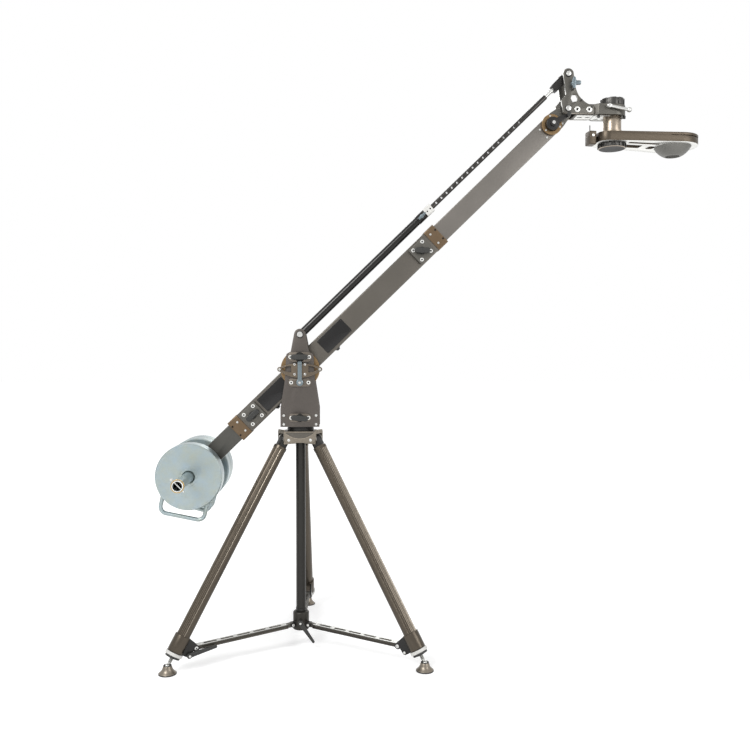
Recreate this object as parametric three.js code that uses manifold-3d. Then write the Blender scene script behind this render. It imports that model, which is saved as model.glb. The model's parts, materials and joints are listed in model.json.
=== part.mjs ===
// A camera jib crane: a telescopic boom on a tripod, with a levelling rod above the boom,
// a swinging bracket with a camera bowl at the raised end and disc weights at the low end.
// Millimetres, +Z up. The boom lies in the XZ plane and its raised end points to +X.

import * as THREE from "three";
import { mergeVertices } from "three/addons/utils/BufferGeometryUtils.js";
import Module from "manifold-3d";

const quarterTurn = Math.PI / 2;
const fullTurn = Math.PI * 2;
const degrees = THREE.MathUtils.degToRad;

// How the crane stands
const boomAngle = degrees(44.2);
const legSplay = degrees(30.43);
const legCount = 3;
const firstLegAzimuth = degrees(89.1);
const linkHeight = 134;
const mainPivotReach = 1456;

// Gaps and cuts
const clearance = 0.3;
const overrun = 2;
const weld = 0.0005;

// How round the round pieces are
const fineSides = 28;
const midSides = 18;
const smallSides = 10;
const tinySides = 8;
const curveSteps = 6;
const arcSteps = 6;
const cornerSteps = 3;
const handleSteps = 26;
const leastSides = 6;
const bowlSteps = 5;

// Crown of the tripod, set about the height of the legs' hinges
const legHingeHeight = 825;
const crownTopRise = 30;
const crownTop = legHingeHeight + crownTopRise;
const crownFaceDrop = 13;
const crownFaceBottom = legHingeHeight - crownFaceDrop;
const crownCheekDrop = 19;
const crownCheekBottom = legHingeHeight - crownCheekDrop;
const crownPlateThickness = 9;
const crownFaceHalfWidth = 60;
const crownFaceDistance = 66;
const crownFaceThickness = 7.5;
const crownFaceCorner = 12;
const crescentHalfWidth = 57;
const crescentSag = 24;
const crescentDepth = 4;
const crescentDrop = 4;
const crownBossRadius = 27;
const crownCheekThickness = 6.5;
const crownCheekInner = 36;

// Legs: places along a leg are measured down its axis from its hinge
const legHingeRadius = 69;
const legPinRadius = 7;
const knuckleWidth = 40;
const knuckleRadius = 15;
const knuckleEnd = 34;
const legCollarRadius = 26;
const legCollarEnd = 44;
const legTubeRadius = 25;
const legBoreRadius = 21;
const fluteCount = 10;
const fluteDepth = 1.6;
const ballRadius = 10;
const ballHeight = 28;
const ballAlong = (legHingeHeight - ballHeight) / Math.cos(legSplay);
const sleeveEndToBall = 54.3;
const legSleeveEnd = ballAlong - sleeveEndToBall;
const legSleeveLength = 62;
const legSleeveStart = legSleeveEnd - legSleeveLength;
const legSleeveRadius = 30;
const spindleNutLength = 20;
const sleeveChamfer = 3;

// Foot screw and pad
const footRingRadius = 33;
const footRingLength = 12;
const footNutRadius = 28;
const footNutLength = 8;
const spindleRadius = 7;
const spindleShoulderToBall = 16.3;
const spindleShoulder = ballAlong - spindleShoulderToBall;
const spindleLength = 96;
const spindleTop = spindleShoulder - spindleLength;
const spindleNeckRadius = 5;
const spindleNeckTaper = 6;
const spindleNeckStart = spindleShoulder + spindleNeckTaper;
const ballGap = 0.9;
const padRadius = 33;
const padEdge = 4;
const padTopRadius = 14;
const padTopRise = 3;
const padWaistRadius = 17;
const padWaistHeight = 24;
const padShoulderRadius = 23;
const padShoulderHeight = 12;
const padSlopeRadius = 30;
const padSlopeHeight = 7;

// Spreader between the legs
const columnRadius = 19;
const columnBore = 16;
const columnBottom = 75;
const columnTopDrop = 17;
const columnTop = crownTop - columnTopDrop;
const hubRadius = 31.5;
const hubBottom = 71;
const hubTop = 141;
const hubPivotRadius = 40;
const hubPivotHeight = 91.6;
const hubEyeRadius = 9;
const hubCheekThickness = 5;
const armTongueWidth = 12;
const armWidth = 28;
const armDepth = 15;
const armTongueLength = 22;
const armPinRadius = 4;
const armEyeRadius = 10;
const armSlotCount = 5;
const armSlotWidth = 12;
const armSlotGap = 14;
const armSlotMargin = 34;
const lugPivotUp = 41.4;
const lugPivotAlong = legSleeveEnd - lugPivotUp;
const lugPivotInward = 61.8;
const lugCheekThickness = 5.5;
const lugGap = 0.6;
const lugSlotInward = 26;
const lugRootInward = 18;
const lugLength = 64;
const lugTopAlong = legSleeveEnd - lugLength;
const leverPivotUp = 10;
const leverPivotAlong = legSleeveEnd - leverPivotUp;
const leverPivotInward = 46;
const lugEyeRadius = 12;
const leverEyeRadius = 9;
const legLeverLength = 102;
const legLeverAngle = degrees(51.3);
const legLeverThickness = 9;
const legLeverRootRadius = 9;
const legLeverTipRadius = 5.5;
const leverScrewRadius = 3.5;
const hubLeverHeight = 107;
const hubLeverBossRadius = 8;
const hubLeverBossLength = 20;
const hubLeverThickness = 9;
const hubLeverLength = 88;
const hubLeverAngle = degrees(-55.6);
const hubLeverTipRadius = 5;

// Turntable and tower
const turntableRadius = 51;
const turntableHeight = 17;
const turntableTop = crownTop + turntableHeight;
const pivotRise = 223;
const pivotHeight = turntableTop + pivotRise;
const blockHalfLength = 70;
const blockHeight = 53;
const blockTop = turntableTop + blockHeight;
const plateOuterY = 60;
const plateThickness = 9;
const plateFootHalf = 75;
const plateFootRise = 74;
const plateFootTop = turntableTop + plateFootRise;
const plateWaistHalf = 58;
const plateWaistDrop = 44;
const plateWaistHeight = pivotHeight - plateWaistDrop;
const plateShoulderHalf = 52;
const plateShoulderRise = 59;
const plateShoulderHeight = pivotHeight + plateShoulderRise;
const earBaseHalf = 33;
const earBaseRise = 70;
const earBaseHeight = pivotHeight + earBaseRise;
const earRadius = 22;
const earPinRadius = 8;
const earPinHeadRadius = 13;
const earPinHeadLength = 6;
const earSpacerRadius = 12;

// Plates, knobs and lever on the near side of the tower
const pillThickness = 5;
const upperPillRise = 47;
const upperPillHeight = pivotHeight + upperPillRise;
const upperPillLength = 92;
const upperPillWidth = 38;
const lowerPillDrop = 51;
const lowerPillHeight = pivotHeight - lowerPillDrop;
const lowerPillLength = 88;
const lowerPillWidth = 32;
const panPillRise = 36;
const panPillHeight = turntableTop + panPillRise;
const panPillLength = 86;
const panPillWidth = 32;
const bridgeThickness = 11;
const bridgeHalfLength = 86;
const bridgeRise = 23;
const bridgeDrop = 33;
const bridgeTipRadius = 9;
const windowNear = 27;
const windowFar = 62;
const windowHalfHeight = 12;
const brakeLeverWidth = 16;
const brakeLeverThickness = 8;
const brakeLeverKnobGap = 1;
const brakeLeverHubRadius = 13;
const brakeLeverGap = 0.6;
const brakeLeverPinRadius = 6;
const wingLength = 64;
const wingWidth = 14;
const wingThickness = 12;
const wingHubRadius = 13;
const wingHubThickness = 15;
const wingStemRadius = 6;
const towerWingY = -97;
const panWingTilt = degrees(6);

// Boom: places along it are measured from the tilt pivot, towards the raised end
const centreTubeHeight = 87;
const centreTubeWidth = 56;
const centreTubeWall = 4;
const centreTubeFront = 761;
const centreTubeRear = -350;
const collarLength = 48;
const collarProud = 2;
const collarLip = 4;
const innerTubeHeight = 75;
const innerTubeWidth = 44;
const innerTubeWall = 3.5;
const frontTubeOverlap = 281;
const frontTubeStart = centreTubeFront - frontTubeOverlap;
const frontTubeSetback = 56;
const frontTubeEnd = mainPivotReach - frontTubeSetback;
const rearTubeOverlap = 220;
const rearTubeStart = centreTubeRear + rearTubeOverlap;
const axleRadius = 15;
const brakeDiscRadius = 75;
const brakeDiscThickness = 13;
const frontClampInset = 100;
const frontClampPlace = centreTubeFront - frontClampInset;
const rearClampInset = 95;
const rearClampPlace = centreTubeRear + rearClampInset;
const clampPlateLength = 78;
const clampPlateHeight = 72;
const clampPlateThickness = 8;
const clampPlateCorner = 5;
const clampWingLength = 60;
const clampWingGap = 9;

// End of the boom and its lock
const endSpigotLength = 40;
const endSpigotGap = 0.4;
const endTongueRadius = 27;
const endTongueWidth = 44;
const endSpacerRadius = 16;
const mainAxleRadius = 10;
const mainHeadRadius = 12;
const mainHeadLength = 6;
const lockSetback = 83;
const lockPlace = mainPivotReach - lockSetback;
const lockRingRadius = 40;
const lockRingInner = 26;
const lockRingThickness = 8;
const lockLeverHubThickness = 26;
const lockLeverThickness = 6;
const lockLeverWidth = 14;
const lockKnobAlong = 61;
const lockKnobDown = 18;
const lockKnobRadius = 9;
const lockKnobLength = 22;

// Levelling rod above the boom
const rodEyeRadius = 18;
const rodEyeWidth = 40;
const rodRadius = 16;
const rodBore = 12;
const rodOuterEnd = 682;
const bushStart = rodOuterEnd + clearance;
const bushLength = 35;
const bushSize = 35;
const bushCorner = 4.4;
const rodInnerRadius = 10;
const rodInnerOverlap = 216;
const rodInnerStart = rodOuterEnd - rodInnerOverlap;
const forkSetback = 68;
const forkBack = mainPivotReach - forkSetback;
const studLength = 43;
const rodInnerEnd = forkBack - studLength;
const rodHoleLead = 26.3;
const rodHoleFirst = bushStart + bushLength + rodHoleLead;
const rodBareLength = 140;
const rodHolePitch = 28.5;
const rodHoleRadius = 4.5;
const pinBossInset = 22;
const pinBossPlace = rodOuterEnd - pinBossInset;
const pinBossRadius = 9;
const pinBossReach = 27;
const pinRadius = 3.5;
const pinHeadRadius = 8;
const pinHeadLength = 12;
const pinWingLength = 36;
const pinWingWidth = 9;
const studRadius = 6.5;
const forkHeight = 30;
const forkWidth = 36;
const forkEyeRadius = 17;
const forkAxleRadius = 8;

// Head plates: the outline is measured from the main pivot
const headInner = 37;
const headPlateThickness = 10;
const headTopRadius = 21;
const headNotchX = -9;
const headNotchZ = 54;
const headHipX = -28;
const headHipZ = 31;
const headHeelX = -20;
const headHeelZ = -12;
const headBottomX = -10;
const headBottomZ = -19;
const headToeX = 101;
const headToeZ = 14;
const headBayX = 42;
const headBayZ = 50;
const headNeckX = 25;
const headNeckZ = 110;
const headWindowX = 22;
const headWindowZ = 40;
const headWindowRadius = 16;
const headWindowSides = 6;
const headBoltX = 35.6;
const headBoltGap = 47;
const headBoltZ = -3;
const headBoltRadius = 11;
const headBoltLength = 5;
const headPinX = 17;
const headPinZ = 94;
const headPinRadius = 4;
const headPinHeadRadius = 10;
const headPinHeadLength = 22;
const headPinBarLength = 40;
const headPinBarRadius = 6;
const headPinReach = 24;

// Head block and the bracket that swings under it
const blockHalfHeight = 21;
const headBlockStart = 31;
const headBlockNeckEnd = 107;
const headBlockHalf = 50;
const headPocketWall = 9;
const riserAxis = 189;
const spigotRadius = 25;
const nutTopRadius = 47.5;
const nutTopHeight = 28;
const nutNotchCount = 8;
const nutNotchWidth = 12;
const nutNotchDepth = 6;
const riserRadius = 35.5;
const riserFlangeRadius = 42;
const riserFlangeHeight = 11;
const riserLength = 67;
const armThickness = 36.5;
const armRootHalf = 62.5;
const armRootReach = 69;
const armRootCorner = 38;
const bracketTurn = degrees(8);
const bowlOffset = 263.11;
const armRoundRadius = 96.56;
const bowlRadius = 80;
const bowlInner = 75;
const bowlDepth = 73;
const bowlHoleRadius = 27.5;
const nutLowRadius = 56;
const nutLowHeight = 16;
const tabLength = 27;
const tabWidth = 44;
const tabHeight = 53;
const tabBossRadius = 9;
const tabBossLength = 7;
const riserLeverBack = 30;
const riserLeverUp = 9;
const riserLeverBossRadius = 8;
const riserLeverBossLength = 16;
const riserLeverLength = 79;
const riserLeverRadius = 6;
const riserLeverBall = 10;
const riserLeverAngle = degrees(-11);

// Weights at the low end of the boom
const weightBarPlace = -578;
const rearTubeMargin = 40;
const rearTubeEnd = weightBarPlace - rearTubeMargin;
const weightBarRadius = 20;
const weightBarBore = 17;
const weightBarHalf = 345;
const weightHubRadius = 30;
const weightHubEnd = 62.4;
const discRadius = 125;
const discThickness = 70;
const discChamfer = 4;
const discBoreGap = 0.6;
const handleRodRadius = 8;
const handleHalfWidth = 85;
const handleDrop = 158;
const handleCorner = 25;
const handleRoot = 60;
const nearHandleTurn = degrees(-12);
const farHandleTurn = degrees(-15.6);
const hitchPinRadius = 2.5;
const hitchPinLength = 62;
const hitchPinPlace = 335;
const hitchClipRadius = 5;
const hitchClipLength = 9;

const wasm = await Module();
wasm.setup();

// A closed geometry as a manifold solid: shared corners are merged and empty triangles dropped.
function solidOf(geometry) {
  const plain = geometry.index ? geometry.toNonIndexed() : geometry.clone();
  plain.deleteAttribute("normal");
  plain.deleteAttribute("uv");
  const merged = mergeVertices(plain, weld);
  const corners = merged.index.array;
  const kept = [];
  for (let i = 0; i < corners.length; i += 3) {
    const [a, b, c] = corners.slice(i, i + 3);
    if (a !== b && b !== c && a !== c) kept.push(a, b, c);
  }
  const mesh = new wasm.Mesh({
    numProp: 3,
    vertProperties: merged.attributes.position.array,
    triVerts: new Uint32Array(kept),
  });
  return new wasm.Manifold(mesh);
}

function geometryOf(solid) {
  const mesh = solid.getMesh();
  const geometry = new THREE.BufferGeometry();
  const places = Float32Array.from(mesh.vertProperties);
  geometry.setAttribute("position", new THREE.BufferAttribute(places, 3));
  geometry.setIndex(new THREE.BufferAttribute(Uint32Array.from(mesh.triVerts), 1));
  return geometry;
}

function join(first, ...others) {
  let solid = solidOf(first);
  for (const other of others) solid = solid.add(solidOf(other));
  return geometryOf(solid);
}

function cut(first, ...others) {
  let solid = solidOf(first);
  for (const other of others) solid = solid.subtract(solidOf(other));
  return geometryOf(solid);
}

// A box between two limits on each axis
function block([x0, x1], [y0, y1], [z0, z1]) {
  const box = new THREE.BoxGeometry(x1 - x0, y1 - y0, z1 - z0);
  return box.translate((x0 + x1) / 2, (y0 + y1) / 2, (z0 + z1) / 2);
}

function roundX(radius, y, z, [x0, x1], sides = smallSides) {
  const bar = new THREE.CylinderGeometry(radius, radius, x1 - x0, sides);
  return bar.rotateZ(quarterTurn).translate((x0 + x1) / 2, y, z);
}

function roundY(radius, x, z, [y0, y1], sides = smallSides) {
  const bar = new THREE.CylinderGeometry(radius, radius, y1 - y0, sides);
  return bar.translate(x, (y0 + y1) / 2, z);
}

function roundZ(radius, x, y, [z0, z1], sides = smallSides) {
  const bar = new THREE.CylinderGeometry(radius, radius, z1 - z0, sides);
  return bar.rotateX(quarterTurn).translate(x, y, (z0 + z1) / 2);
}

function holeY(radius, x, z, limits, sides = smallSides) {
  return roundY(flatsClear(radius, sides), x, z, limits, sides);
}

function holeZ(radius, x, y, limits, sides = smallSides) {
  return roundZ(flatsClear(radius, sides), x, y, limits, sides);
}

// A turned piece about Z from an outline of [radius, height] points that runs anticlockwise
function turned(outline, sides = midSides) {
  const points = outline.map(([radius, height]) => new THREE.Vector2(radius, height));
  const closed = outline[0][0] === 0 ? points : [...points, points[0]];
  return new THREE.LatheGeometry(closed, sides).rotateX(quarterTurn);
}

// Points of an arc in an outline, both ends included
function arc(centreX, centreY, radius, from, to, steps) {
  const points = [];
  for (let i = 0; i <= steps; i += 1) {
    const angle = from + ((to - from) * i) / steps;
    points.push([centreX + radius * Math.cos(angle), centreY + radius * Math.sin(angle)]);
  }
  return points;
}

function outline(points) {
  return new THREE.Shape(points.map(([x, y]) => new THREE.Vector2(x, y)));
}

function circlePath(x, y, radius, sides) {
  const points = arc(x, y, radius, fullTurn, 0, sides).slice(1);
  return new THREE.Path(points.map(([px, py]) => new THREE.Vector2(px, py)));
}

// A hole's flats clear the radius that it is given
function flatsClear(radius, sides) {
  return radius / Math.cos(Math.PI / sides);
}

function withHole(shape, x, y, radius, sides = smallSides) {
  shape.holes.push(circlePath(x, y, flatsClear(radius, sides), sides));
  return shape;
}

// A flat shape given thickness: lying from height z up, or standing in XZ from nearY to the rear
function lying(shape, thickness, z, curveSegments = curveSteps) {
  const options = { depth: thickness, bevelEnabled: false, curveSegments };
  return new THREE.ExtrudeGeometry(shape, options).translate(0, 0, z);
}

function standing(shape, thickness, nearY, curveSegments = curveSteps) {
  return lying(shape, thickness, -nearY - thickness, curveSegments).rotateX(quarterTurn);
}

function roundedRectangle(length, width, corner) {
  const x = length / 2 - corner;
  const y = width / 2 - corner;
  return outline([
    ...arc(x, y, corner, 0, quarterTurn, cornerSteps),
    ...arc(-x, y, corner, quarterTurn, 2 * quarterTurn, cornerSteps),
    ...arc(-x, -y, corner, 2 * quarterTurn, 3 * quarterTurn, cornerSteps),
    ...arc(x, -y, corner, 3 * quarterTurn, fullTurn, cornerSteps),
  ]);
}

function pill(length, width, thickness, nearY, z) {
  const shape = roundedRectangle(length, width, width / 2 - clearance);
  return standing(shape, thickness, nearY).translate(0, 0, z);
}

// A bar with round ends of two radii between two points of a plane
function taperedBar([x0, y0], radius0, [x1, y1], radius1) {
  const along = Math.atan2(y1 - y0, x1 - x0);
  return outline([
    ...arc(x0, y0, radius0, along + quarterTurn, along + 3 * quarterTurn, cornerSteps),
    ...arc(x1, y1, radius1, along - quarterTurn, along + quarterTurn, cornerSteps),
  ]);
}

// Each finish is a colour, a roughness and a metalness
const finishes = {
  bronzeGrey: { color: 0x6e665c, roughness: 0.42, metalness: 0.85 },
  darkGrey: { color: 0x4c4a47, roughness: 0.48, metalness: 0.8 },
  towerGrey: { color: 0x5f5a55, roughness: 0.45, metalness: 0.8 },
  collarBronze: { color: 0x765d41, roughness: 0.45, metalness: 0.75 },
  discBronze: { color: 0xa07d50, roughness: 0.35, metalness: 0.85 },
  champagne: { color: 0xb9ac9b, roughness: 0.35, metalness: 0.85 },
  bracketBronze: { color: 0x8c7a69, roughness: 0.4, metalness: 0.85 },
  blackMetal: { color: 0x232323, roughness: 0.5, metalness: 0.6 },
  zinc: { color: 0xc8d0d2, roughness: 0.35, metalness: 0.9 },
  blueSteel: { color: 0x737d82, roughness: 0.35, metalness: 0.85 },
  blackPlastic: { color: 0x282826, roughness: 0.6, metalness: 0.05 },
  whitePlastic: { color: 0xe8e8e6, roughness: 0.5, metalness: 0 },
};

function piece(parent, name, geometry, finish) {
  const material = new THREE.MeshStandardMaterial({ ...finishes[finish], flatShading: true });
  const mesh = new THREE.Mesh(geometry, material);
  mesh.name = name;
  parent.add(mesh);
}

function group(parent, x, y, z) {
  const made = new THREE.Group();
  made.position.set(x, y, z);
  parent.add(made);
  return made;
}

function legAzimuth(index) {
  return firstLegAzimuth + (index * fullTurn) / legCount;
}

// The crown: a six-sided top plate, three faces with a hollowed crescent, and cheeks for the legs
function crownPlan() {
  const corners = [];
  for (let i = 0; i < legCount; i += 1) {
    const turn = legAzimuth(i) + Math.PI + quarterTurn;
    for (const side of [-crownFaceHalfWidth, crownFaceHalfWidth]) {
      const x = side * Math.cos(turn) + crownFaceDistance * Math.sin(turn);
      const y = side * Math.sin(turn) - crownFaceDistance * Math.cos(turn);
      corners.push([x, y]);
    }
  }
  return outline(corners);
}

function crownFace() {
  const height = crownTop - crownPlateThickness - crownFaceBottom;
  const middle = crownFaceBottom + height / 2;
  const full = roundedRectangle(2 * crownFaceHalfWidth, height + 2 * crownFaceCorner, crownFaceCorner);
  const face = standing(full, crownFaceThickness, -crownFaceDistance);
  face.translate(0, 0, middle + crownFaceCorner);
  const top = crownTop - crownPlateThickness;
  const above = block(
    [-crownFaceHalfWidth - overrun, crownFaceHalfWidth + overrun],
    [-crownFaceDistance - overrun, crownFaceThickness - crownFaceDistance + overrun],
    [top, top + 2 * crownFaceCorner + overrun],
  );
  return cut(face, above);
}

// The crescent hollow of a face, which runs up into the edge of the top plate
function crownCrescent() {
  const radius = (crescentHalfWidth ** 2 + crescentSag ** 2) / (2 * crescentSag);
  const spread = Math.asin(crescentHalfWidth / radius);
  const centre = crownTop - crescentDrop - crescentSag + radius;
  const bow = arc(0, centre, radius, -quarterTurn - spread, -quarterTurn + spread, arcSteps);
  return standing(outline(bow), crescentDepth + overrun, -crownFaceDistance - overrun);
}

function crownCheeks() {
  const cheeks = [];
  const outer = crownFaceDistance / 2 + crownFaceHalfWidth * Math.cos(quarterTurn / legCount);
  for (const side of [-1, 1]) {
    const inner = side * (knuckleWidth / 2 + clearance);
    const limits = [inner, inner + side * crownCheekThickness].sort((a, b) => a - b);
    const cheek = block([crownCheekInner, outer], limits, [crownCheekBottom, crownTop - crownPlateThickness]);
    cheeks.push(cheek);
  }
  return cheeks;
}

function crown() {
  const parts = [lying(crownPlan(), crownPlateThickness, crownTop - crownPlateThickness)];
  const holes = [];
  const cheekOuter = knuckleWidth / 2 + crownCheekThickness + overrun;
  for (let i = 0; i < legCount; i += 1) {
    const faceTurn = legAzimuth(i) + Math.PI + quarterTurn;
    parts.push(crownFace().rotateZ(faceTurn));
    holes.push(crownCrescent().rotateZ(faceTurn));
    for (const cheek of crownCheeks()) parts.push(cheek.rotateZ(legAzimuth(i)));
    const hole = holeY(legPinRadius + clearance, legHingeRadius, legHingeHeight, [-cheekOuter, cheekOuter]);
    holes.push(hole.rotateZ(legAzimuth(i)));
  }
  const boss = roundZ(crownBossRadius, 0, 0, [crownFaceBottom, crownTop - crownPlateThickness], midSides);
  const socket = [crownFaceBottom - overrun, columnTop + clearance];
  holes.push(holeZ(columnRadius + clearance, 0, 0, socket, midSides));
  const ribWidth = crownFaceThickness;
  for (let i = 0; i < legCount; i += 1) {
    const rib = block(
      [-ribWidth / 2, ribWidth / 2],
      [crownFaceThickness / 2 - crownFaceDistance, -crownBossRadius / 2 - columnRadius / 2],
      [crownFaceBottom, crownTop - crownPlateThickness],
    );
    parts.push(rib.rotateZ(legAzimuth(i) + Math.PI + quarterTurn));
  }
  return cut(join(...parts, boss), ...holes);
}

function centreColumn() {
  return turned([
    [columnBore, columnBottom],
    [columnRadius, columnBottom],
    [columnRadius, columnTop],
    [columnBore, columnTop],
  ]);
}

// The fluted section of a leg: ribs at the full radius with shallow flutes between them
function flutedSection() {
  const points = [];
  const pointsPerFluteShares = [0.1, 0.55, 0.65, 1];
  for (let i = 0; i < fluteCount; i += 1) {
    pointsPerFluteShares.forEach((share, place) => {
      const angle = ((i + share) * fullTurn) / fluteCount;
      const radius = place < 2 ? legTubeRadius : legTubeRadius - fluteDepth;
      points.push([radius * Math.cos(angle), radius * Math.sin(angle)]);
    });
  }
  return withHole(outline(points), 0, 0, legBoreRadius);
}

function knuckle() {
  const half = knuckleWidth / 2;
  const web = block([-knuckleRadius, knuckleRadius], [-half, half], [-knuckleEnd, 0]);
  const round = roundY(knuckleRadius, 0, 0, [-half, half]);
  const pinHalf = half + crownCheekThickness;
  const pin = roundY(legPinRadius, 0, 0, [-pinHalf, pinHalf]);
  const collar = roundZ(legCollarRadius, 0, 0, [-legCollarEnd, -knuckleEnd], midSides);
  return [web, round, pin, collar];
}

function lugCheek() {
  const lower = lugEyeRadius * Math.cos(legSplay);
  return outline([
    [-lugRootInward, -lugTopAlong],
    ...arc(-lugPivotInward, -lugPivotAlong, lugEyeRadius, quarterTurn, 3 * quarterTurn, cornerSteps),
    [-lugPivotInward + lower / 2, -lugPivotAlong - lugEyeRadius],
    ...arc(-leverPivotInward, -leverPivotAlong, leverEyeRadius, Math.PI, 3 * quarterTurn, cornerSteps),
    [-lugRootInward, -leverPivotAlong - leverEyeRadius],
  ]);
}

function leg() {
  const tube = lying(flutedSection(), legSleeveStart - legCollarEnd + 2 * overrun, -legSleeveStart - overrun);
  const innerEnd = -legSleeveEnd + spindleNutLength;
  const sleeve = turned([
    [spindleRadius + clearance, -legSleeveEnd],
    [legSleeveRadius - sleeveChamfer, -legSleeveEnd],
    [legSleeveRadius, -legSleeveEnd + sleeveChamfer],
    [legSleeveRadius, -legSleeveStart],
    [legBoreRadius, -legSleeveStart],
    [legBoreRadius, innerEnd],
    [spindleRadius + clearance, innerEnd],
  ]);
  const slotHalf = armWidth / 2 + lugGap;
  const lugs = [-1, 1].map((side) => {
    const nearY = side > 0 ? slotHalf : -slotHalf - lugCheekThickness;
    return standing(lugCheek(), lugCheekThickness, nearY);
  });
  const slot = block(
    [-lugPivotInward - lugEyeRadius - overrun, -lugSlotInward],
    [-slotHalf, slotHalf],
    [-legSleeveEnd - overrun, -lugTopAlong + overrun],
  );
  const screwHole = holeY(
    leverScrewRadius + clearance,
    -leverPivotInward,
    -leverPivotAlong,
    [0, slotHalf + lugCheekThickness + overrun],
    tinySides,
  );
  return cut(join(tube, sleeve, ...knuckle(), ...lugs), slot, screwHole);
}

function legLever() {
  const slotHalf = armWidth / 2 + lugGap;
  const face = slotHalf + lugCheekThickness + clearance;
  const tip = [
    -leverPivotInward - legLeverLength * Math.sin(legLeverAngle),
    -leverPivotAlong + legLeverLength * Math.cos(legLeverAngle),
  ];
  const pivot = [-leverPivotInward, -leverPivotAlong];
  const shape = taperedBar(pivot, legLeverRootRadius, tip, legLeverTipRadius);
  const handle = standing(shape, legLeverThickness, face);
  const screw = roundY(
    leverScrewRadius,
    -leverPivotInward,
    -leverPivotAlong,
    [slotHalf + clearance, face + legLeverThickness / 2],
    tinySides,
  );
  return join(handle, screw);
}

function footScrew() {
  const ringEnd = legSleeveEnd + clearance + footRingLength;
  const nutEnd = ringEnd + footNutLength;
  const neck = Math.asin(spindleNeckRadius / ballRadius);
  return turned([
    [0, -ballAlong - ballRadius],
    ...arc(0, -ballAlong, ballRadius, -quarterTurn, quarterTurn - neck, cornerSteps).slice(1),
    [spindleNeckRadius, -spindleNeckStart],
    [spindleRadius, -spindleShoulder],
    [spindleRadius, -nutEnd],
    [footNutRadius, -nutEnd],
    [footNutRadius, -ringEnd],
    [footRingRadius, -ringEnd],
    [footRingRadius, -legSleeveEnd - clearance],
    [spindleRadius, -legSleeveEnd - clearance],
    [spindleRadius, -spindleTop],
    [0, -spindleTop],
  ], midSides);
}

function footPad() {
  const socket = ballRadius + ballGap;
  const lip = Math.asin(padTopRise / socket);
  const hollow = arc(0, ballHeight, socket, lip, -quarterTurn, cornerSteps + 1);
  return turned([
    [0, 0],
    [padRadius, 0],
    [padRadius, padEdge],
    [padSlopeRadius, padSlopeHeight],
    [padShoulderRadius, padShoulderHeight],
    [padWaistRadius, padWaistHeight],
    [padTopRadius, ballHeight + padTopRise],
    ...hollow.slice(0, -1),
    [0, ballHeight - socket],
  ]);
}

// Where the spreader joins a leg, seen in the plane of that leg
function lugPivot() {
  const sine = Math.sin(legSplay);
  const cosine = Math.cos(legSplay);
  const radius = legHingeRadius + lugPivotAlong * sine - lugPivotInward * cosine;
  const height = legHingeHeight - lugPivotAlong * cosine - lugPivotInward * sine;
  return [radius, height];
}

function spreaderHub() {
  const ring = turned([
    [columnRadius + clearance, hubBottom],
    [hubRadius, hubBottom],
    [hubRadius, hubTop],
    [columnRadius + clearance, hubTop],
  ]);
  const cheekHalf = armTongueWidth / 2 + lugGap + hubCheekThickness;
  const slotHalf = armTongueWidth / 2 + lugGap;
  const parts = [];
  const cuts = [];
  for (let i = 0; i < legCount; i += 1) {
    const root = columnRadius + clearance + overrun;
    const webHeights = [hubPivotHeight - hubEyeRadius, hubPivotHeight + hubEyeRadius];
    const web = block([root, hubPivotRadius], [-cheekHalf, cheekHalf], webHeights);
    const eye = roundY(hubEyeRadius, hubPivotRadius, hubPivotHeight, [-cheekHalf, cheekHalf]);
    parts.push(web.rotateZ(legAzimuth(i)), eye.rotateZ(legAzimuth(i)));
    const slot = block(
      [hubPivotRadius - armEyeRadius - lugGap, hubPivotRadius + 2 * hubEyeRadius],
      [-slotHalf, slotHalf],
      [hubBottom - overrun, hubPivotHeight + 2 * hubEyeRadius],
    );
    const across = [-2 * cheekHalf, 2 * cheekHalf];
    const hole = holeY(armPinRadius + clearance, hubPivotRadius, hubPivotHeight, across, tinySides);
    cuts.push(slot.rotateZ(legAzimuth(i)), hole.rotateZ(legAzimuth(i)));
  }
  const screwHole = holeY(leverScrewRadius + clearance, 0, hubLeverHeight, [-2 * hubRadius, 0], tinySides);
  const bore = roundZ(columnRadius + clearance, 0, 0, [hubBottom - overrun, hubTop + overrun], midSides);
  return cut(join(ring, ...parts), bore, ...cuts, screwHole);
}

// An arm lies along +X from its hub pivot at the origin
function spreaderArm(length) {
  const barStart = armTongueLength;
  const shape = outline([
    [barStart, -armWidth / 2],
    [length, -armWidth / 2],
    [length, armWidth / 2],
    [barStart, armWidth / 2],
  ]);
  const firstSlot = barStart + armSlotMargin - armEyeRadius;
  const room = length - armSlotMargin - firstSlot + armSlotGap;
  const slotLength = room / armSlotCount - armSlotGap;
  for (let i = 0; i < armSlotCount; i += 1) {
    const start = firstSlot + i * (slotLength + armSlotGap);
    const window = roundedRectangle(slotLength, armSlotWidth, armSlotWidth / 2 - clearance).getPoints();
    const moved = window.map((point) => new THREE.Vector2(point.x + start + slotLength / 2, point.y));
    shape.holes.push(new THREE.Path(moved.reverse()));
  }
  const bar = lying(shape, armDepth, -armDepth / 2);
  const tongueHalf = armTongueWidth / 2;
  const eyeRadius = hubEyeRadius - clearance;
  const tongue = block([0, barStart + overrun], [-tongueHalf, tongueHalf], [-eyeRadius, eyeRadius]);
  const eye = roundY(eyeRadius, 0, 0, [-tongueHalf, tongueHalf]);
  const pinHalf = tongueHalf + lugGap + hubCheekThickness;
  const pin = roundY(armPinRadius, 0, 0, [-pinHalf, pinHalf], tinySides);
  const outerEye = roundY(armEyeRadius, length, 0, [-armWidth / 2, armWidth / 2]);
  return join(bar, tongue, eye, pin, outerEye);
}

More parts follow.
